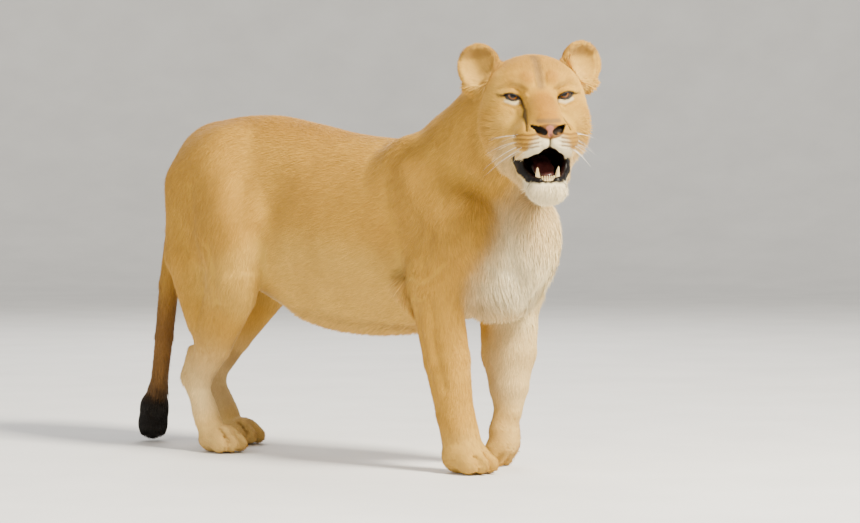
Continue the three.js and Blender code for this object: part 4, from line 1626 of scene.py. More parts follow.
class Undercoat:
    """How deep the skin lies under the animal's outline: the coat's depth, with muscles and folds."""

    reach = 3.0

    def __init__(self, pelt: Pelt) -> None:
        """Keeps the coat, and lays out the folds."""
        self.pelt = pelt
        self.folds = ((*self.side_folds(), *self.leg_folds(), *self.front_folds()), self.face_folds())

    def side_folds(self) -> tuple[Fold, ...]:
        """Shoulder blade, flank and thigh, on both sides.

        Returns:
            The folds.
        """
        made = []
        for view, back in ((View.RIGHT, 0), (View.LEFT, 60)):
            made += [
                fold(view, 28, 6, (-178, 660), (-208, 560), (-222, 470)),
                fold(view, 22, -4, (-225, 700), (-262, 640), (-318, 570)),
                fold(view, 24, 5, (-318, 670), (-352, 630), (-402, 560)),
                fold(view, 12, 3, (-345, 560), (-318, 480), (-330, 440)),
                fold(view, 30, 7, (278 + back, 650), (270 + back, 600), (240 + back, 540), (216 + back, 495)),
                fold(view, 50, 6, (170, 640), (190, 560)),
                fold(view, 50, -4, (360 + back, 690), (330 + back, 610)),
                fold(view, 16, 5, (440 + back, 650), (425 + back, 540), (385 + back, 450)),
                fold(view, 18, 3.5, (150, 455), (30, 395), (-110, 372)),
                fold(view, 60, -3, (130, 700), (0, 560), (-60, 470)),
            ]
        return tuple(made)

    def leg_folds(self) -> tuple[Fold, ...]:
        """Elbows, forearms, knees and hocks.

        Returns:
            The folds.
        """
        right, left = View.RIGHT, View.LEFT
        return (
            fold(right, 20, -7, (-232, 425), (-240, 415)),
            fold(right, 8, 3.5, (-228, 462), (-262, 446), (-300, 452)),
            fold(right, 9, 2.5, (-300, 436), (-340, 452), (-372, 486)),
            fold(right, 7, 2.5, (-240, 388), (-280, 404), (-322, 400)),
            fold(right, 9, 4.5, (-338, 400), (-335, 300), (-352, 200)),
            fold(right, 7, 4.5, (-288, 410), (-300, 270), (-326, 150)),
            fold(right, 14, -3.5, (-310, 350), (-318, 250)),
            fold(right, 20, -3, (-372, 118), (-378, 108)),
            fold(left, 20, -6, (-262, 430), (-270, 420)),
            fold(left, 8, 3, (-300, 380), (-318, 270), (-338, 180)),
            fold(right, 12, 5, (352, 510), (325, 430), (330, 380)),
            fold(right, 9, 4, (405, 400), (420, 320), (452, 240)),
            fold(right, 7, -3, (430, 300), (462, 235)),
            fold(right, 8, 3, (474, 176), (470, 110)),
            fold(left, 12, 4, (470, 500), (445, 430)),
            fold(left, 9, 4, (545, 400), (560, 300), (590, 220)),
            fold(left, 8, 3, (600, 170), (590, 110)),
        )

    def front_folds(self) -> tuple[Fold, ...]:
        """Chest and the roots of the forelegs.

        Returns:
            The folds.
        """
        front = View.FRONT
        return (
            fold(front, 16, 5, (0, 640), (4, 520), (2, 400)),
            fold(front, 17, 4.5, (-72, 620), (-58, 500), (-70, 410)),
            fold(front, 17, 4, (72, 620), (58, 500), (66, 410)),
            fold(front, 8, 3, (-64, 436), (-92, 440), (-116, 456)),
            fold(front, 8, 2.5, (-60, 470), (-84, 478), (-104, 496)),
            fold(front, 7, 3, (62, 430), (100, 448)),
        )

    def face_folds(self) -> tuple[Fold, ...]:
        """Lids, brow, tear lines and the pads of the upper lip.

        Returns:
            The folds.
        """
        face = View.FACE
        pads = tuple(
            fold(View.MUZZLE, 2.6, 1.3, (20, z), (42, z - 3), (62, z)) for z in WHISKER_ROWS)
        return (
            fold(face, 4.2, -2.8, (34, 2), (46, 11), (62, 14), (80, 7)),
            fold(face, 4.0, 1.8, (32, 15), (44, 25), (62, 29), (86, 18)),
            fold(face, 4.0, 1.8, (40, -18), (56, -27), (80, -18)),
            fold(face, 4.0, 3.0, (41, -6), (38, -28), (42, -52), (48, -74)),
            fold(face, 8.0, 1.8, (0, 26), (0, 80)),
            fold(face, 4.0, 1.6, (12, 24), (14, 52)),
            fold(face, 3.4, 4.0, (0, -88), (0, -120)),
            fold(face, 9.0, 3.0, (50, -40), (74, -70), (86, -110)),
            *pads,
        )

    def __call__(self, points: Array) -> Array:
        """Depth under the outline at each point.

        Args:
            points: places in millimetres, one a row.

        Returns:
            One depth a point.
        """
        depth = self.pelt.growth(points)[:, 3]
        for folds, places in zip(self.folds, (points, HEAD.inwards(points))):
            for one in folds:
                distance = np.maximum(one.where(places), 0)
                near = distance < self.reach * one.width
                depth[near] += one.depth * np.exp(-((distance[near] / one.width) ** 2))
        return depth


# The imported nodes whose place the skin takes.
FLESH = (
    "ear_right", "ear_left", "head", "face", "lower_jaw", "nose", "neck", "chest", "belly", "rump",
    "upper_arm_right", "forearm_right", "forepaw_right", "upper_arm_left", "forearm_left", "forepaw_left",
    "thigh_right", "shank_right", "hind_foot_right", "thigh_left", "shank_left", "hind_foot_left",
    "tail_root", "tail_middle", "tail_tuft",
)


class Skin:
    """One closed skin over the whole animal, finest on the face."""

    cell = 8.5
    sole = 1.0
    low = (-230.0, -800.0, -20.0)
    high = (230.0, 800.0, 1010.0)
    undercoat_shade = 0.8

    def __init__(self, shape: Field, pelt: Pelt, stance: Stance) -> None:
        """Sculpts the surface and asks the pelt for its colours and growth.

        Args:
            shape: the animal out to the tips of its coat.
            pelt: its markings and coat.
            stance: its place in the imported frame.
        """
        self.stance = stance
        self.surface = self.sculpt(shape, Undercoat(pelt))
        self.normals = self.surface.normals()
        self.tint = pelt.tint(self.surface.points)
        self.bare = pelt.bare(self.surface.points)
        self.growth = pelt.growth(self.surface.points)
        lie = pelt.lie(self.surface.points)
        self.lie = unit(lie - self.normals * np.sum(lie * self.normals, axis=1, keepdims=True))

    def sculpt(self, shape: Field, inset: Undercoat) -> Surface:
        """Polygonizes the field, then refines head and face.

        Args:
            shape: the animal out to the tips of its coat.
            inset: how deep the skin lies under that.

        Returns:
            The skin's triangles, closed.
        """
        points, quads = Lattice(shape, inset, self.low, self.high, self.cell).quads()
        triangles = np.concatenate([quads[:, [0, 1, 2]], quads[:, [0, 2, 3]]])
        surface = Surface(settle(shape, inset, points, 2, 4.0), triangles)
        head = Ball((0, 40, -50), (160, 190, 190))
        face = Ball((0, -60, -70), (80, 80, 130))
        eyes = Mirrored(Ball((EYE_AT[0], -8, EYE_AT[2]), (28, 26, 24)))
        for place, most in ((head, 3.0), (Blend(1, (face, eyes)), 1.5)):
            surface = split(evened(surface, 0.5), Placed(HEAD, place))
            surface.points = settle(shape, inset, surface.points, 2, most)
        surface.points[:, 2] = np.maximum(surface.points[:, 2], self.sole)
        return surface

    def build(self, finish: Material) -> None:
        """Makes the skin's piece.

        Args:
            finish: its material.
        """
        piece = new_piece("skin", self.stance.metres(self.surface.points), self.surface.triangles)
        paint(piece, "tint", self.tint * self.undercoat_shade, self.bare)
        attach(piece, finish, "coat", *FLESH)


# ---------------- coat
class Region(Enum):
    """Parts of the body that the coat's pieces cover."""

    HEAD = "head"
    NECK = "neck"
    CHEST = "chest"
    BARREL = "barrel"
    RUMP = "rump"
    FORELEGS = "forelegs"
    HIND_LEGS = "hind_legs"
    TAIL = "tail"


@dataclass
class Roots:
    """Where tufts grow, and how."""

    points: Array
    normals: Array
    lie: Array
    growth: Array
    tint: Array
    uv: Array

    def part(self, chosen: Array) -> "Roots":
        """The chosen roots."""
        return Roots(*(getattr(self, name)[chosen] for name in self.__dataclass_fields__))


class Fur:
    """Tufts of the coat, laid over the skin along its lie."""

    # A piece's limit, a tuft's spread on the unwrapped square, and where the trunk's regions meet.
    most_triangles = 190_000
    patch = 0.0015
    uv_turn = 2.4
    chest_end = -60.0
    rump_start = 250.0
    # Where hair grows, how much of it, and from which length a tuft is a lock of more rings.
    haired = 0.6
    share = 0.93
    long_from = 24.0
    rings = {"short": 1, "long": 3}
    # How tufts vary about the coat's length, width, rise and shade, and swing in radians.
    lengths = (0.7, 1.2)
    widths = (0.7, 1.25)
    rises = (0.4, 1.5)
    shades = (-0.6, 0.5)
    swing = 0.16
    # A tuft's form, as shares of its length or width, and the droop past which it hangs and gathers.
    root_depth = 0.4
    taper = 0.7
    ridge_rise = 0.7
    ridge_ahead = 0.25
    sag = 0.5
    curl = 0.12
    heavy_droop = 0.45
    # Trimming at the floor and at the outline of the tail's end.
    above_floor = 0.6
    shortest = 0.5
    tuft_top = 210.0
    ragged = (-6, 1)
    trims = 14
    trim = 0.86

    def __init__(self, skin: Skin, body: BodyShape) -> None:
        """Keeps the skin that the tufts grow on.

        Args:
            skin: the finished skin.
            body: the shapes that tell one region from another.
        """
        self.skin = skin
        self.body = body
        self.random = np.random.default_rng(SEED)

    def regions(self) -> Array:
        """The region of each of the skin's triangles.

        Returns:
            Its place in the Enum, one a triangle.
        """
        middle = self.skin.surface.points[self.skin.surface.triangles].mean(axis=1)
        body = self.body
        legs = [np.minimum(*(Blend(1, pair)(middle) for pair in pairs)) for pairs in (
            ((body.right_fore, body.paws["fore_right"]), (body.left_fore, body.paws["fore_left"])),
            ((body.right_hind, body.paws["hind_right"]), (body.left_hind, body.paws["hind_left"])))]
        trunk = body.barrel(middle)
        front, rear = middle[:, 1] < self.chest_end, middle[:, 1] >= self.rump_start
        far = 1e3
        chest = np.minimum(np.where(front, trunk, far), body.breast(middle))
        barrel = np.where(front | rear, far, trunk)
        distance = np.stack([
            body.head(middle) - 4, body.neck(middle), chest, barrel, np.where(rear, trunk, far), *legs,
            body.tail(middle)])
        return np.argmin(distance, axis=0)

    def unwrap(self, triangles: Array) -> Array:
        """Unwraps part of the skin flat, filling a square.

        Args:
            triangles: the part's triangles.

        Returns:
            Place on the square of each triangle's corners.
        """
        used, number = np.unique(triangles, return_inverse=True)
        piece = new_piece("unwrap", self.skin.surface.points[used] * MM, number.reshape(-1, 3))
        piece.data.uv_layers.new(name="flat")
        bpy.context.view_layer.objects.active = piece
        piece.select_set(True)
        bpy.ops.object.mode_set(mode="EDIT")
        bpy.ops.mesh.select_all(action="SELECT")
        bpy.ops.uv.smart_project(angle_limit=math.radians(60), island_margin=0.004)
        bpy.ops.object.mode_set(mode="OBJECT")
        flat = np.empty(len(triangles) * 6, dtype=np.float32)
        piece.data.uv_layers["flat"].data.foreach_get("uv", flat)
        bpy.data.meshes.remove(piece.data)
        return flat.reshape(-1, 3, 2)

    def sow(self, triangles: Array, flat: Array) -> Roots:
        """Scatters roots over part of the skin.

        Args:
            triangles: the part's triangles.
            flat: their corners on the unwrapped square.

        Returns:
            The roots.
        """
        skin = self.skin
        area = Surface(skin.surface.points, triangles).areas() / 100
        haired = 1 - skin.bare[triangles].max(axis=1) > self.haired
        density = skin.growth[triangles][:, :, 4].mean(axis=1) * haired
        total = np.cumsum(area * density * self.share)
        count = int(total[-1])
        at = (np.arange(count) + self.random.random(count)) * total[-1] / count
        face = np.minimum(np.searchsorted(total, at), len(triangles) - 1)
        r, s = np.sqrt(self.random.random(count)), self.random.random(count)
        weight = np.stack([1 - r, r * (1 - s), r * s], axis=1)[:, :, None]
        corner = triangles[face]
        points, normals, lie, growth, tint = ((values[corner] * weight).sum(axis=1) for values in (
            skin.surface.points, skin.normals, skin.lie, skin.growth, skin.tint))
        return Roots(points, unit(normals), unit(lie), growth, tint, (flat[face] * weight).sum(axis=1))

    def heading(self, roots: Roots) -> tuple[Array, Array, Array]:
        """How the tufts set off from the skin: risen a little, swung aside, and drooping where they are long.

        Args:
            roots: where they grow.

        Returns:
            Direction at the root, bend from there to the tip, and lie along the skin, one row a tuft.
        """
        count = len(roots.points)
        rise = np.radians(roots.growth[:, 2] * self.random.uniform(*self.rises, count))
        swing = self.random.normal(0, self.swing, count)
        droop = roots.growth[:, 5]
        side = np.cross(roots.normals, roots.lie)
        lie = roots.lie * np.cos(swing)[:, None] + side * np.sin(swing)[:, None]
        start = lie * np.cos(rise)[:, None] + roots.normals * np.sin(rise)[:, None]
        down = np.array([0, 0, -1.0])
        heavy = droop - self.heavy_droop
        gather = np.clip(8 * heavy, 0, 1.2)[:, None]
        fall = (down - roots.normals * [1, 1, 0] * gather) * droop[:, None]
        under = np.clip(1.5 * droop, 0, 1) * np.clip(roots.normals @ down, 0, 1) ** 2
        hang = np.clip(np.maximum(under, 3 * heavy), 0, 1)[:, None]
        return start * (1 - hang) + down * hang, fall * self.sag + lie * self.curl, lie

    def trimmed(self, base: Array, reach: Array, length: Array) -> Array:
        """Tufts cut short above the floor, and those of the tail's end near its outline.

        Args:
            base: their roots.
            reach: way from root to tip of a tuft of length one, one row a tuft.
            length: their lengths.

        Returns:
            The new lengths.
        """
        sink = np.maximum(-reach[:, 2], 1e-6)
        length = np.minimum(length, np.maximum(base[:, 2] - self.above_floor, self.shortest) / sink)
        hanging = (self.body.tail(base) < 4) & (base[:, 2] < self.tuft_top)
        ragged = self.random.uniform(*self.ragged, len(length))[hanging]
        for _ in range(self.trims):
            tip = base[hanging] + reach[hanging] * length[hanging, None]
            length[hanging] *= np.where(self.body.tail(tip) > ragged, self.trim, 1)
        return length

    def tufts(self, roots: Roots, rings: int) -> tuple[Array, Array, Array, Array]:
        """Closed three-sided tufts, darker at the root than at the tip.

        Args:
            roots: where they grow.
            rings: how many rings of three points each has below its tip.

        Returns:
            Points, triangles, colours and places on the unwrapped square.
        """
        count = len(roots.points)
        length = roots.growth[:, 0] * self.random.uniform(*self.lengths, count)
        width = roots.growth[:, 1] * self.random.uniform(*self.widths, count)
        start, bend, lie = self.heading(roots)
        side = np.cross(roots.normals, lie)
        base = roots.points - roots.normals * self.root_depth
        length = self.trimmed(base, start + bend, length)[:, None]
        deep = np.interp(roots.growth[:, 0], (8, 30), (0.17, 0.34))[:, None]
        tint = roots.tint * (1 + deep * self.random.uniform(*self.shades, count)[:, None])
        points, colours = [], []
        for ring in range(rings):
            t = ring / rings
            centre = base + (start * t + bend * t * t) * length
            half = (width / 2 * (1 - t) ** self.taper)[:, None]
            ahead = lie * self.ridge_ahead * length / rings
            ridge = centre + ahead + roots.normals * half * self.ridge_rise
            edge = tint * (1 - deep * (1 - t))
            points += [centre - side * half, centre + side * half, ridge]
            colours += [edge, edge, tint * (1 - deep * (0.5 - t))]
        points.append(base + (start + bend) * length)
        colours.append(tint * (1 + deep * 0.4))
        faces = self.tuft_faces(rings)
        each = len(points)
        triangles = (faces[None] + np.arange(count)[:, None, None] * each).reshape(-1, 3)
        turn = np.arange(each) * self.uv_turn
        spread = np.stack([np.cos(turn), np.sin(turn)], axis=1) * self.patch
        uv = (roots.uv[:, None] + spread).reshape(-1, 2)
        return in_turn(points), triangles, in_turn(colours), uv

    @staticmethod
    def tuft_faces(rings: int) -> Array:
        """Triangles of one tuft: a flat root, rings of three points and a tip.

        Args:
            rings: how many rings.

        Returns:
            The triangles, one a row.
        """
        last = 3 * (rings - 1)
        faces = [(0, 1, 2)]
        for ring in range(rings - 1):
            faces += between(3 * ring, 3 * ring + 3, 3)
        faces += [(last + k, last + 3, last + (k + 1) % 3) for k in range(3)]
        return np.array(faces)[:, ::-1]

    def build(self, finish: Material) -> None:
        """Makes the coat's pieces, region by region.

        Args:
            finish: the hair's material.
        """
        numbers = self.regions()
        for number, region in enumerate(Region):
            triangles = self.skin.surface.triangles[numbers == number]
            roots = self.sow(triangles, self.unwrap(triangles))
            long = roots.growth[:, 0] > self.long_from
            for chosen, label in ((~long, "short"), (long, "long")):
                if chosen.any():
                    self.pieces(f"coat_{region.value}_{label}", roots.part(chosen), self.rings[label], finish)

    def pieces(self, name: str, roots: Roots, rings: int, finish: Material) -> None:
        """Makes as many pieces as the tufts need.

        Args:
            name: their common name.
            roots: where the tufts grow.
            rings: rings of each tuft.
            finish: the coat's material.
        """
        count = len(roots.points)
        parts = math.ceil(count * len(self.tuft_faces(rings)) / self.most_triangles)
        order = self.random.permutation(count)
        for number, chosen in enumerate(np.array_split(order, parts), 1):
            points, triangles, colours, uv = self.tufts(roots.part(chosen), rings)
            label = name if parts == 1 else f"{name}_{number}"
            piece = new_piece(label, self.skin.stance.metres(points), triangles, False)
            paint(piece, "tint", colours)
            layer = piece.data.uv_layers.new(name="OFBake")
            layer.data.foreach_set("uv", flat_floats(uv[triangles.ravel()]))
            attach(piece, finish, "coat")


# ---------------- eyes, teeth, tongue, whiskers
@dataclass
class Eye:
    """One eyeball with its iris and pupil, and the dark rim of its lids."""

    side: int
    stance: Stance
    gaze: Triple = (-0.1, -1.0, 0.2)
    iris: float = 0.62
    # The pupil is wider than in bright light: painted shade of the heavy upper lids.
    pupil: float = 0.33
    bulge: float = 0.05
    cornea: float = 0.5
    rings: int = 48
    spokes: int = 64
    rim_radius: float = 1.3
    rim_lift: float = 2.2
    rim_steps: int = 72
    rim_sides: int = 8

    def build(self, wet: Material, dark: Material) -> None:
        """Makes the eyeball and the rim.

        Args:
            wet: the eyeball's material.
            dark: the rim's.
        """
        name = "left" if self.side > 0 else "right"
        self.ball(f"eyeball_{name}", wet, f"eye_{name}")
        self.rim(f"eyelid_rim_{name}", dark)

    def ball(self, name: str, wet: Material, node: str) -> None:
        """Makes the eyeball as rings round the gaze, with a bulging cornea.

        Args:
            name: the piece's name.
            wet: its material.
            node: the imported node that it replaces.
        """
        polar = np.linspace(0, math.pi, self.rings + 1)
        gaze = unit(np.array(self.gaze))
        across = unit(np.cross(gaze, [0, 0, 1.0]))
        ring = circle(self.spokes) @ np.array([across, np.cross(across, gaze)])
        radius = EYE_RADIUS * (1 + self.bulge * np.exp(-((polar / self.cornea) ** 2)))
        points = [radius[0] * gaze[None]]
        for angle, r in zip(polar[1:-1], radius[1:-1]):
            points.append(r * (np.cos(angle) * gaze + np.sin(angle) * ring))
        points = self.centre() + np.concatenate([*points, -EYE_RADIUS * gaze[None]])
        angle = np.concatenate([[0], np.repeat(polar[1:-1], self.spokes), [math.pi]])
        piece = new_piece(name, self.stance.head_metres(points), spindle(self.rings - 1, self.spokes))
        paint(piece, "tint", self.colours(angle))
        attach(piece, wet, "eye", node)

    def centre(self) -> Array:
        """Middle of the eyeball, in the head's frame."""
        return np.array(EYE_AT) * [self.side, 1, 1]

    def colours(self, angle: Array) -> Array:
        """Pupil, iris and dark white of the eye.

        Args:
            angle: angles from the gaze.

        Returns:
            Linear red, green and blue, one row an angle.
        """
        # The iris is darker than its own amber: painted shade of the lids over its own colour.
        stops = (
            (0, "030201"), (self.pupil, "030201"), (self.pupil + 0.04, "43260b"), (0.42, "8c5314"),
            (self.iris - 0.08, "5c350e"), (self.iris, "100905"), (self.iris + 0.08, "4a3d31"),
            (3.2, "32261d"),
        )
        places, codes = zip(*stops)
        shades = np.array([linear(code) for code in codes])
        return np.stack([np.interp(angle, places, shades[:, n]) for n in range(3)], axis=1)

    def rim(self, name: str, dark: Material) -> None:
        """Makes the dark edge of the lids as a closed ring.

        Args:
            name: the piece's name.
            dark: its material.
        """
        count, sides = self.rim_steps, self.rim_sides
        path = LidOpening().rim(count, EYE_RADIUS + self.rim_lift) * np.array([self.side, 1, 1])
        ahead = unit(np.roll(path, -1, axis=0) - np.roll(path, 1, axis=0))
        out = path - self.centre()
        out = unit(out - ahead * np.sum(out * ahead, axis=1, keepdims=True))
        ring = circle(sides) @ np.stack([out, np.cross(ahead, out)], axis=1)
        points = (path[:, None] + self.rim_radius * ring).reshape(-1, 3)
        faces = np.concatenate([between(k * sides, (k + 1) % count * sides, sides) for k in range(count)])
        attach(new_piece(name, self.stance.head_metres(points), faces[:, ::-1]), dark)


@dataclass
class Mouth:
    """Teeth and tongue in the lower jaw."""

    stance: Stance
    canine_at: Triple = (20.5, -78.0, -190.0)
    canine_tip: Triple = (23.5, -89.0, -155.0)
    canine_radius: float = 7.6
    canine_taper: float = 0.62
    bend: float = 0.6
    incisors: int = 6
    incisor_gap: float = 5.0
    incisor_bow: float = 0.02
    incisor_root: tuple[float, float] = (-87.0, -188.0)
    incisor_tip: tuple[float, float] = (-89.0, -175.0)
    incisor_spread: float = 1.05
    incisor_radius: float = 2.9
    incisor_taper: float = 0.3
    rings: int = 10
    sides: int = 12

    def horn(self, base: Array, tip: Array, radius: float, taper: float) -> Array:
        """Points of a tooth: a tapered bent cone, closed at both ends.

        Args:
            base: middle of its root.
            tip: its point.
            radius: radius at the root.
            taper: how soon it narrows; small is blunt.

        Returns:
            Root, rings and tip.
        """
        side = unit(np.cross(unit(tip - base), [0, 1.0, 0]))
        front = np.cross(side, unit(tip - base))
        points = [base[None]]
        for t in np.arange(self.rings) / self.rings:
            middle = base + (tip - base) * t + front * radius * self.bend * math.sin(math.pi * t)
            points.append(middle + radius * (1 - t) ** taper * (circle(self.sides) @ np.array([side, front])))
        return np.concatenate([*points, tip[None]])

    def build(self, tooth: Material, flesh: Material) -> None:
        """Makes teeth and tongue.

        Args:
            tooth: the teeth's material.
            flesh: the tongue's.
        """
        horns = []
        for side in (-1, 1):
            base, tip = (np.array(place) * [side, 1, 1] for place in (self.canine_at, self.canine_tip))
            horns.append(self.horn(base, tip, self.canine_radius, self.canine_taper))
        for n in range(self.incisors):
            x = (n - (self.incisors - 1) / 2) * self.incisor_gap
            bow = np.array([0, self.incisor_bow * x * x, 0])
            base = np.array([x, *self.incisor_root]) + bow
            tip = np.array([x * self.incisor_spread, *self.incisor_tip]) + bow
            horns.append(self.horn(base, tip, self.incisor_radius, self.incisor_taper))
        faces = spindle(self.rings, self.sides)[:, ::-1]
        numbers = np.concatenate([faces + n * len(horns[0]) for n in range(len(horns))])
        attach(new_piece("teeth", self.stance.head_metres(np.concatenate(horns)), numbers), tooth)
        self.tongue(flesh)

    def tongue(self, flesh: Material) -> None:
        """Makes the tongue, with a furrow along its middle.

        Args:
            flesh: its material.
        """
        body = limb(14, (0, -64, -173, 17, 8), (0, -34, -160, 20, 10), (0, 6, -142, 22, 12))
        shape = Carve(4, body, limb(3, (0.1, -100, -164, 1.5, 4), (0.1, 10, -128, 1.5, 4)))
        points, quads = Lattice(shape, unmoved, (-40, -110, -200), (40, 40, -110), 2.5).quads()
        points = settle(shape, unmoved, points, 2, 1.5)
        attach(new_piece("tongue_flesh", self.stance.head_metres(points), quads), flesh, "tongue", "tongue")


class HairTubes:
    """Geometry Nodes tree that gives guide lines a tapered round body."""

    sizes = {"Thickness": 0.0006, "Sides": 5, "Seed": 3}
    variation = (0.7, 1.2)

    def __init__(self, finish: Material) -> None:
        """Builds the tree.

        Args:
            finish: the hairs' material.
        """
        self.tree = bpy.data.node_groups.new("hair_tubes", "GeometryNodeTree")
        face = self.tree.interface
        face.new_socket("Geometry", in_out="INPUT", socket_type="NodeSocketGeometry")
        face.new_socket("Geometry", in_out="OUTPUT", socket_type="NodeSocketGeometry")
        self.inputs = {
            name: face.new_socket(name, in_out="INPUT", socket_type=f"NodeSocket{kind}")
            for name, kind in (("Thickness", "Float"), ("Sides", "Int"), ("Seed", "Int"))
        }
        start = self.tree.nodes.new("NodeGroupInput")
        curve = self.node("GeometryNodeMeshToCurve", {"Mesh": start.outputs["Geometry"]})
        along = self.node("GeometryNodeSplineParameter", {})
        taper = self.node("ShaderNodeMath", {0: 1.0, 1: along.outputs["Factor"]}, operation="SUBTRACT")
        thinnest, thickest = self.variation
        vary = self.node("FunctionNodeRandomValue", {"Seed": start.outputs["Seed"], 2: thinnest, 3: thickest})
        thick = self.node(
            "ShaderNodeMath", {0: taper.outputs[0], 1: start.outputs["Thickness"]}, operation="MULTIPLY")
        final = self.node("ShaderNodeMath", {0: thick.outputs[0], 1: vary.outputs[1]}, operation="MULTIPLY")
        ring = self.node(
            "GeometryNodeCurvePrimitiveCircle", {"Resolution": start.outputs["Sides"], "Radius": 1.0})
        tube = self.node("GeometryNodeCurveToMesh", {
            "Curve": curve.outputs[0], "Profile Curve": ring.outputs[0], "Scale": final.outputs[0],
            "Fill Caps": True,
        })
        real = self.node("GeometryNodeRealizeInstances", {"Geometry": tube.outputs[0]})
        dressed = self.node("GeometryNodeSetMaterial", {"Geometry": real.outputs[0], "Material": finish})
        end = self.tree.nodes.new("NodeGroupOutput")
        self.tree.links.new(dressed.outputs[0], end.inputs[0])

    def node(self, kind: str, inputs: dict, **settings: object) -> bpy.types.Node:
        """Adds a node, its settings first.

        Args:
            kind: the node's type.
            inputs: values or output sockets, by name or number.
            settings: the node's properties.

        Returns:
            The node.
        """
        made = self.tree.nodes.new(kind)
        for key, value in settings.items():
            setattr(made, key, value)
        for key, value in inputs.items():
            if isinstance(value, bpy.types.NodeSocket):
                self.tree.links.new(value, made.inputs[key])
            else:
                made.inputs[key].default_value = value
        return made

    def grown(self, name: str, guides: list[Array]) -> Piece:
        """A piece of hairs along guide lines.

        Args:
            name: the piece's name.
            guides: points of each hair in metres, from its root to its tip.

        Returns:
            The piece.
        """
        mesh = bpy.data.meshes.new(f"{name}_guides")
        starts = np.cumsum([0] + [len(guide) for guide in guides])
        edges = [(a + n, a + n + 1) for a, guide in zip(starts, guides) for n in range(len(guide) - 1)]
        mesh.from_pydata(np.concatenate(guides).tolist(), edges, [])
        lines = bpy.data.objects.new(f"{name}_guides", mesh)
        bpy.context.scene.collection.objects.link(lines)
        modifier = lines.modifiers.new("tubes", "NODES")
        modifier.node_group = self.tree
        for key, value in self.sizes.items():
            modifier[self.inputs[key].identifier] = value
        evaluated = lines.evaluated_get(bpy.context.evaluated_depsgraph_get())
        result = bpy.data.meshes.new_from_object(evaluated)
        lines.modifiers.clear()
        bpy.data.meshes.remove(mesh)
        made = bpy.data.objects.new(name, result)
        result.name = name
        bpy.context.scene.collection.objects.link(made)
        return made


@dataclass
class Whiskers:
    """Rows of whiskers on the pads of the upper lip."""

    stance: Stance
    rows: int = 4
    in_row: int = 4
    first_root: Triple = (34.0, -112.0, -84.0)
    root_step: Triple = (7.0, 11.0, -1.5)
    row_drop: float = -9.0
    first_way: Triple = (0.75, 0.3, 0.12)
    way_step: Triple = (0.05, 0.18, 0.0)
    row_dip: float = -0.16
    longest: float = 116.0
    first_share: float = 0.55
    share_step: float = 0.15
    points: int = 10
    beyond: float = 0.018
    trims: int = 12
    trim: float = 0.9
    stray: float = 0.06
    sag: Triple = (0.0, 0.1125, -0.2475)

    def guides(self) -> list[Array]:
        """Lays out the whiskers, longer towards the cheek.

        Returns:
            Points of each in metres, from root to tip.
        """
        random = np.random.default_rng(SEED + 1)
        made = []
        for side in (-1, 1):
            for row in range(self.rows):
                for n in range(self.in_row):
                    root = np.array(self.first_root) + np.array(self.root_step) * n
                    way = np.array(self.first_way) + np.array(self.way_step) * n
                    root[2] += self.row_drop * row
                    way[2] += self.row_dip * row
                    share = self.first_share + self.share_step * n
                    length = self.longest * share * random.uniform(0.75, 1.0)
                    made.append(self.bent(root * [side, 1, 1], way * [side, 1, 1], length, random))
        return made

    def bent(self, root: Array, way: Array, length: float, random: np.random.Generator) -> Array:
        """One whisker, sagging to its tip, and cut short near the edge of the solids' box.

        Args:
            root: where it grows, in the head's frame.
            way: its direction there.
            length: its length.
            random: source of its stray direction.

        Returns:
            Its points in metres.
        """
        way = unit(way + random.normal(0, self.stray, 3))
        t = np.linspace(0, 1, self.points)[:, None]
        low = np.array(CAD_BOX[0]) - self.beyond
        for _ in range(self.trims):
            line = root + way * length * t + np.array(self.sag) * length * t * t
            placed = self.stance.head_metres(line)
            if np.all(placed >= low):
                break
            length *= self.trim
        return placed

    def build(self, finish: Material) -> None:
        """Makes the whiskers.

        Args:
            finish: their material.
        """
        piece = HairTubes(finish).grown("whiskers", self.guides())
        piece.data.materials.clear()
        attach(piece, finish)


# ---------------- studio
@dataclass(frozen=True)
class Lamp:
    """A square soft light that looks at the middle of the animal."""

    name: str
    at: Triple
    size: float
    power: float
    colour: Triple
    aim: Triple = (0.0, 0.0, 0.5)

    def build(self) -> None:
        """Hangs the light."""
        data = bpy.data.lights.new(self.name, "AREA")
        data.size, data.energy, data.color = self.size, self.power, self.colour
        lamp = bpy.data.objects.new(self.name, data)
        lamp.location = self.at
        lamp.rotation_euler = (Vector(self.aim) - Vector(self.at)).to_track_quat("-Z", "Y").to_euler()
        bpy.context.scene.collection.objects.link(lamp)


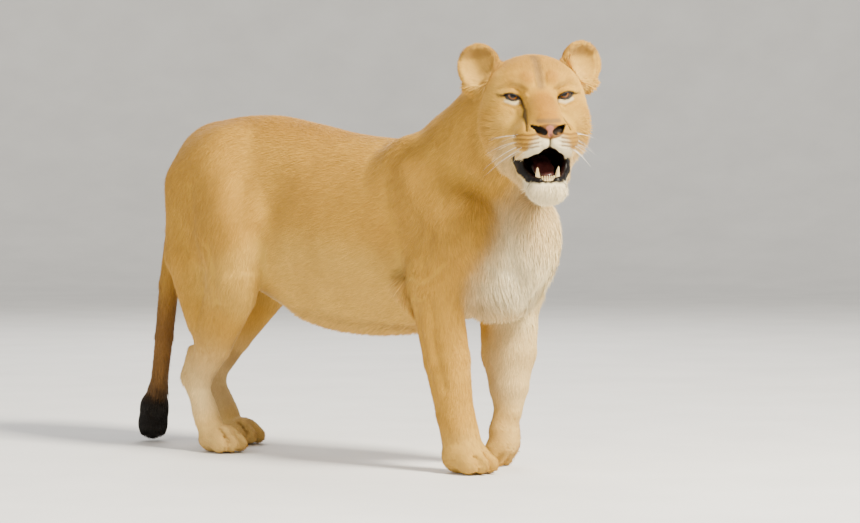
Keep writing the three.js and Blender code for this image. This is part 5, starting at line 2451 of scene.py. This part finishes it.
@dataclass
class Studio:
    """Pale floor, soft lights and the camera."""

    stance: Stance
    camera_at: Triple = (-5268.0, -4614.0, 700.0)
    camera_turn: float = -49.99
    camera_pitch: float = 1.89
    lens: float = 123.9
    flat_radius: float = 9.0
    curve: float = 5.0
    spokes: int = 96
    steps: int = 24
    floor_tones: tuple[float, float] = (0.74, 0.8)
    lamps: tuple[Lamp, ...] = (
        Lamp("key", (-0.3, -5.0, 5.0), 1.5, 1560.0, (1.0, 0.93, 0.78)),
        Lamp("fill", (-5.5, 0.5, 2.6), 4.0, 150.0, (1.0, 0.95, 0.86)),
        Lamp("rim", (3.5, 3.5, 4.0), 3.0, 190.0, (1.0, 0.97, 0.93)),
    )
    sky_colour: Triple = (1.0, 0.98, 0.95)
    sky_strength: float = 0.55

    def build(self) -> None:
        """Makes floor, lights, sky and camera."""
        self.floor()
        for lamp in self.lamps:
            lamp.build()
        self.sky()
        self.camera()

    def floor(self) -> None:
        """Pale round floor that curves up into a wall far behind the animal."""
        rise = np.linspace(0, math.pi / 2, self.steps)[:, None]
        flat = (self.flat_radius + self.curve * np.sin(rise))[:, None] * circle(self.spokes)
        height = np.broadcast_to(self.curve * (1 - np.cos(rise)), flat.shape[:2])
        rings = np.concatenate([flat, height[:, :, None]], axis=2)
        points = np.concatenate([np.zeros((1, 3)), rings.reshape(-1, 3)])
        piece = new_piece("floor", points, np.array(bowl(self.steps, self.spokes)))
        s = Shader("floor")
        dark, light = self.floor_tones
        grain = s.ramp(s.noise(3.0), (0.3, np.full(3, dark)), (0.7, np.full(3, light)))
        piece.data.materials.append(s.finish({"Base Color": grain, "Roughness": 0.8}))

    def sky(self) -> None:
        """Even pale light from all round."""
        world = bpy.data.worlds.new("studio")
        world.use_nodes = True
        background = world.node_tree.nodes["Background"]
        background.inputs["Color"].default_value = (*self.sky_colour, 1.0)
        background.inputs["Strength"].default_value = self.sky_strength
        bpy.context.scene.world = world

    def camera(self) -> None:
        """Camera at eye height, far back, with a long lens."""
        data = bpy.data.cameras.new("camera")
        data.lens, data.sensor_width = self.lens, 36.0
        data.clip_end = 100.0
        camera = bpy.data.objects.new("camera", data)
        place = self.stance.metres(np.array([self.camera_at]))[0]
        place[2] = self.camera_at[2] * MM
        camera.location = place
        tilt, turn = math.radians(90 - self.camera_pitch), math.radians(self.camera_turn)
        camera.rotation_euler = Euler((tilt, 0, turn))
        bpy.context.scene.collection.objects.link(camera)
        bpy.context.scene.camera = camera


def main() -> None:
    """Builds the lioness and her studio."""
    logging.basicConfig(level=logging.INFO, format="%(name)s: %(message)s")
    stance = Stance()
    studio = Studio(stance)
    studio.build()
    head = HeadShape()
    body = BodyShape(head)
    pelt = Pelt(head, body)
    skin = Skin(body.whole(), pelt, stance)
    skin.build(HideFinish().build())
    fur = Fur(skin, body)
    fur.build(CoatFinish().build())
    wet, dark = EyeFinish().build(), RIM.build()
    for side in (-1, 1):
        Eye(side, stance).build(wet, dark)
    Mouth(stance).build(TOOTH.build(), SHADED_TONGUE.build())
    Whiskers(stance).build(WHISKER.build())


if __name__ == "__main__":
    main()
